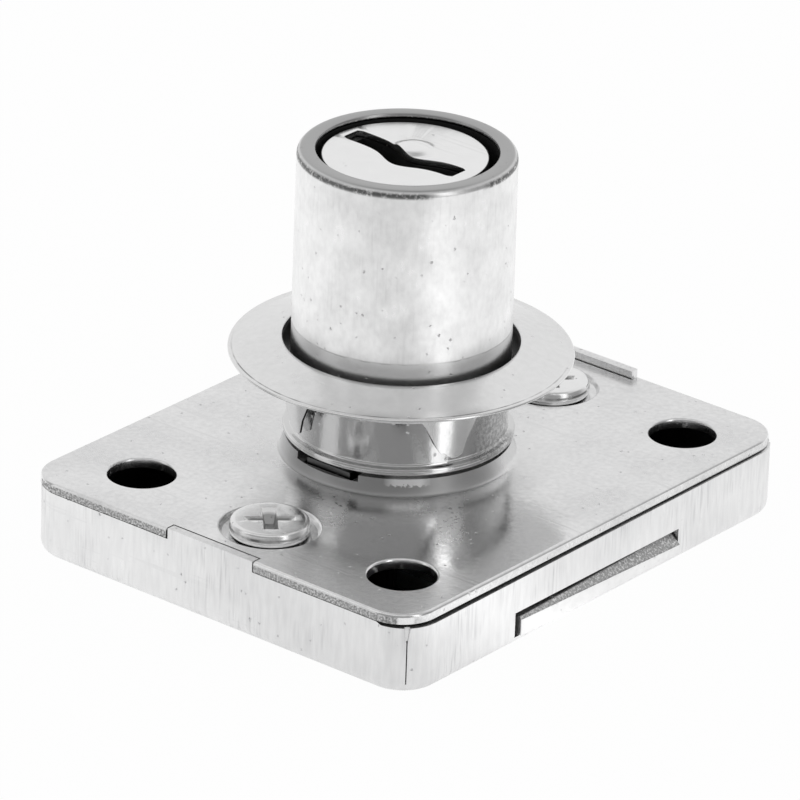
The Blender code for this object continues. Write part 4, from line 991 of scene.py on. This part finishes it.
for vertex in keyhole.data.vertices:
    x = vertex.co.x * KEY_LENGTH
    dip = KEY_DIP * math.exp(-(((x - KEY_DIP_X) / KEY_DIP_SPAN) ** 2))
    past = max(0.0, abs(x) - KEY_LENGTH / 2 + 0.5) / 0.5
    half = KEY_HALF * (1.0 - 0.22 * past * past)
    middle = KEY_SHIFT[1] - KEY_SLOPE * x - dip
    vertex.co = ((x + KEY_SHIFT[0]) * MM, (middle + 2 * vertex.co.y * half) * MM, 27.0 * MM)
alone(keyhole)
bpy.ops.object.mode_set(mode="EDIT")
bpy.ops.mesh.select_all(action="SELECT")
bpy.ops.mesh.extrude_region_move(TRANSFORM_OT_translate={"value": (0.0, 0.0, 4.0 * MM)})
bpy.ops.mesh.select_all(action="SELECT")
bpy.ops.mesh.normals_make_consistent(inside=False)
bpy.ops.object.mode_set(mode="OBJECT")
changed(face, keyhole)
broken(face, 0.07, steps=3, smooth=38.0)
face_finish = plated(
    "face_plating", (1.0, 1.0, 1.0), (0.8, 0.8, 0.8), (0.14, 0.22),
    scratch=0.7, pits=0.03, mottle=0.08,
)
settle(face, "pressed_cap", face_finish, "plug", "polished_ring", "plug_face")


# Cam, pin and bolt
# The cam turns with the plug's tail, and the pin riveted in it drives the flat steel bolt through its
# notch. Their sloping faces, the bolt's bevelled nose among them, are darker and rougher, with
# speckles.
def object_normal(tree):
    """The three parts of the surface's direction in the piece's own axes."""
    split = add_node(tree, "ShaderNodeSeparateXYZ")
    wire(tree, add_node(tree, "ShaderNodeTexCoord").outputs["Normal"], split.inputs[0])
    return split.outputs["X"], split.outputs["Y"], split.outputs["Z"]


bolt_finish = plated(
    "bolt_steel", (0.91, 0.91, 0.91), (0.6, 0.6, 0.6), (0.26, 0.36), grain=(400.0, 1800.0, 1800.0),
)
tree = bolt_finish.node_tree
bevel = between(tree, object_normal(tree)[2], 0.25, 0.93, 0.02)
lay_marks_and_painted_light(bolt_finish, product(tree, bevel, speckles(tree, 6500.0, 0.3, 0.55)), 0.42, 0.4)
dressed("cam_driver", "stamped_cam", bolt_finish, "plug", "bolt_steel")
dressed("cam_pin", "drive_pin", bolt_finish, "plug", "bolt_steel")
dressed("bolt", "flat_bolt", bolt_finish, "bolt", "bolt_steel", edge=0.08)


# Escutcheon ring
# The ring is spun from thin sheet and polished: a domed flange with a beaded edge, turned down
# at its hole into a collar whose end is cut into four tapered prongs.
RING = (
    (8.68, 12.05), (9.15, 14.46), (9.3, 14.64), (10.2, 14.46), (11.2, 14.22), (12.15, 13.99),
    (12.5, 13.95), (12.62, 13.97), (12.67, 14.03), (12.67, 14.1), (12.6, 14.18), (12.4, 14.22),
    (12.15, 14.24), (11.6, 14.40), (10.8, 14.62), (9.9, 14.87), (9.3, 15.04), (9.05, 15.11),
    (8.85, 15.12), (8.72, 15.07), (8.65, 14.95), (8.44, 12.05),
)
COLLAR_END = 12.1
PRONG_FIRST, PRONG_ROOT, PRONG_TIP, PRONG_SKEW, PRONG_HEIGHT = -24.7, 14.7, 5.9, 2.4, 3.1
PRONG_SHOULDER = 0.84
ring = lathe(RING, 180)
for vertex in ring.data.vertices:
    if vertex.co.z < COLLAR_END * MM:
        angle = math.degrees(math.atan2(vertex.co.y, vertex.co.x)) - PRONG_FIRST
        angle = (angle + 45.0) % 90.0 - 45.0
        across = abs(angle - PRONG_SKEW) if abs(angle) < PRONG_ROOT else 99.0
        rise = (PRONG_ROOT - abs(angle)) / (PRONG_ROOT - PRONG_TIP)
        if across < PRONG_TIP:
            depth = 1.0 - (1.0 - PRONG_SHOULDER) * (across / PRONG_TIP) ** 2
        else:
            depth = max(0.0, min(PRONG_SHOULDER, PRONG_SHOULDER * rise))
        thinner = 0.985 if vertex.co.xy.length > 8.56 * MM else 0.992
        vertex.co.x *= 1.0 + (thinner - 1.0) * depth
        vertex.co.y *= 1.0 + (thinner - 1.0) * depth
        vertex.co.z -= depth * PRONG_HEIGHT * MM
broken(ring, 0.05)
ring_finish = plated(
    "polished_ring", (0.92, 0.92, 0.92), (0.74, 0.74, 0.74), (0.12, 0.24), scratch=0.5, pits=0.03,
    grain=(1800.0, 1800.0, 1800.0), grain_depth=0.0015, mottle=0.2, wave=0.012,
)
tree, x, y, z = object_place(ring_finish)
lean_x, lean_y, lean_z = object_normal(tree)
off_axis = axis_distance(tree, x, y)
lay_marks_and_painted_light(ring_finish, spread(tree, lean_z, -0.1, -0.5), 0.9, 0.5)
# Painted shade: the inside of the ring's collar is darkened nearly to black and dulled, except on its
# front side toward the bolt end.
bore = combine(
    tree, "MINIMUM",
    spread(tree, off_axis, 8.68 * MM, 8.62 * MM), between(tree, z, 12.4 * MM, 14.9 * MM, 0.1 * MM),
)
lit_side_of_bore = facing(tree, x, y, -51.0, 45.0, 62.0)
lay_marks_and_painted_light(ring_finish, product(tree, bore, combine(tree, "SUBTRACT", 1.0, lit_side_of_bore)), 0.12, 0.5)
# Painted shade: the cut flanks of the collar's prongs are made near black.
outward = combine(tree, "ADD", product(tree, lean_x, x), product(tree, lean_y, y))
outward = combine(tree, "DIVIDE", outward, off_axis)
upright_or_out = combine(
    tree, "ADD", combine(tree, "ABSOLUTE", outward, 0.0), combine(tree, "ABSOLUTE", lean_z, 0.0)
)
shaded_cut_side = combine(
    tree, "MINIMUM",
    spread(tree, upright_or_out, 0.8, 0.55), spread(tree, z, 12.2 * MM, 12.0 * MM),
)
lay_marks_and_painted_light(ring_finish, shaded_cut_side, 0.03, 0.6)
# Painted reflection: a thin dark speckled line runs along the flange's top where it turns into the
# bead, on the front half.
dark_edge_reflection = combine(
    tree, "MINIMUM",
    between(tree, off_axis, 12.33 * MM, 12.43 * MM, 0.03 * MM),
    spread(tree, z, 14.05 * MM, 14.12 * MM),
)
dark_edge_reflection = product(
    tree, dark_edge_reflection, facing(tree, x, y, -60.0, 60.0, 90.0), speckles(tree, 700.0, 0.3, 0.6)
)
lay_marks_and_painted_light(ring_finish, dark_edge_reflection, 0.3, 0.3)
settle(ring, "pronged_ring", ring_finish, "lock", "polished_ring", "escutcheon_ring")


# View
# Colours go to the screen as they are.
bpy.context.scene.view_settings.view_transform = "Standard"
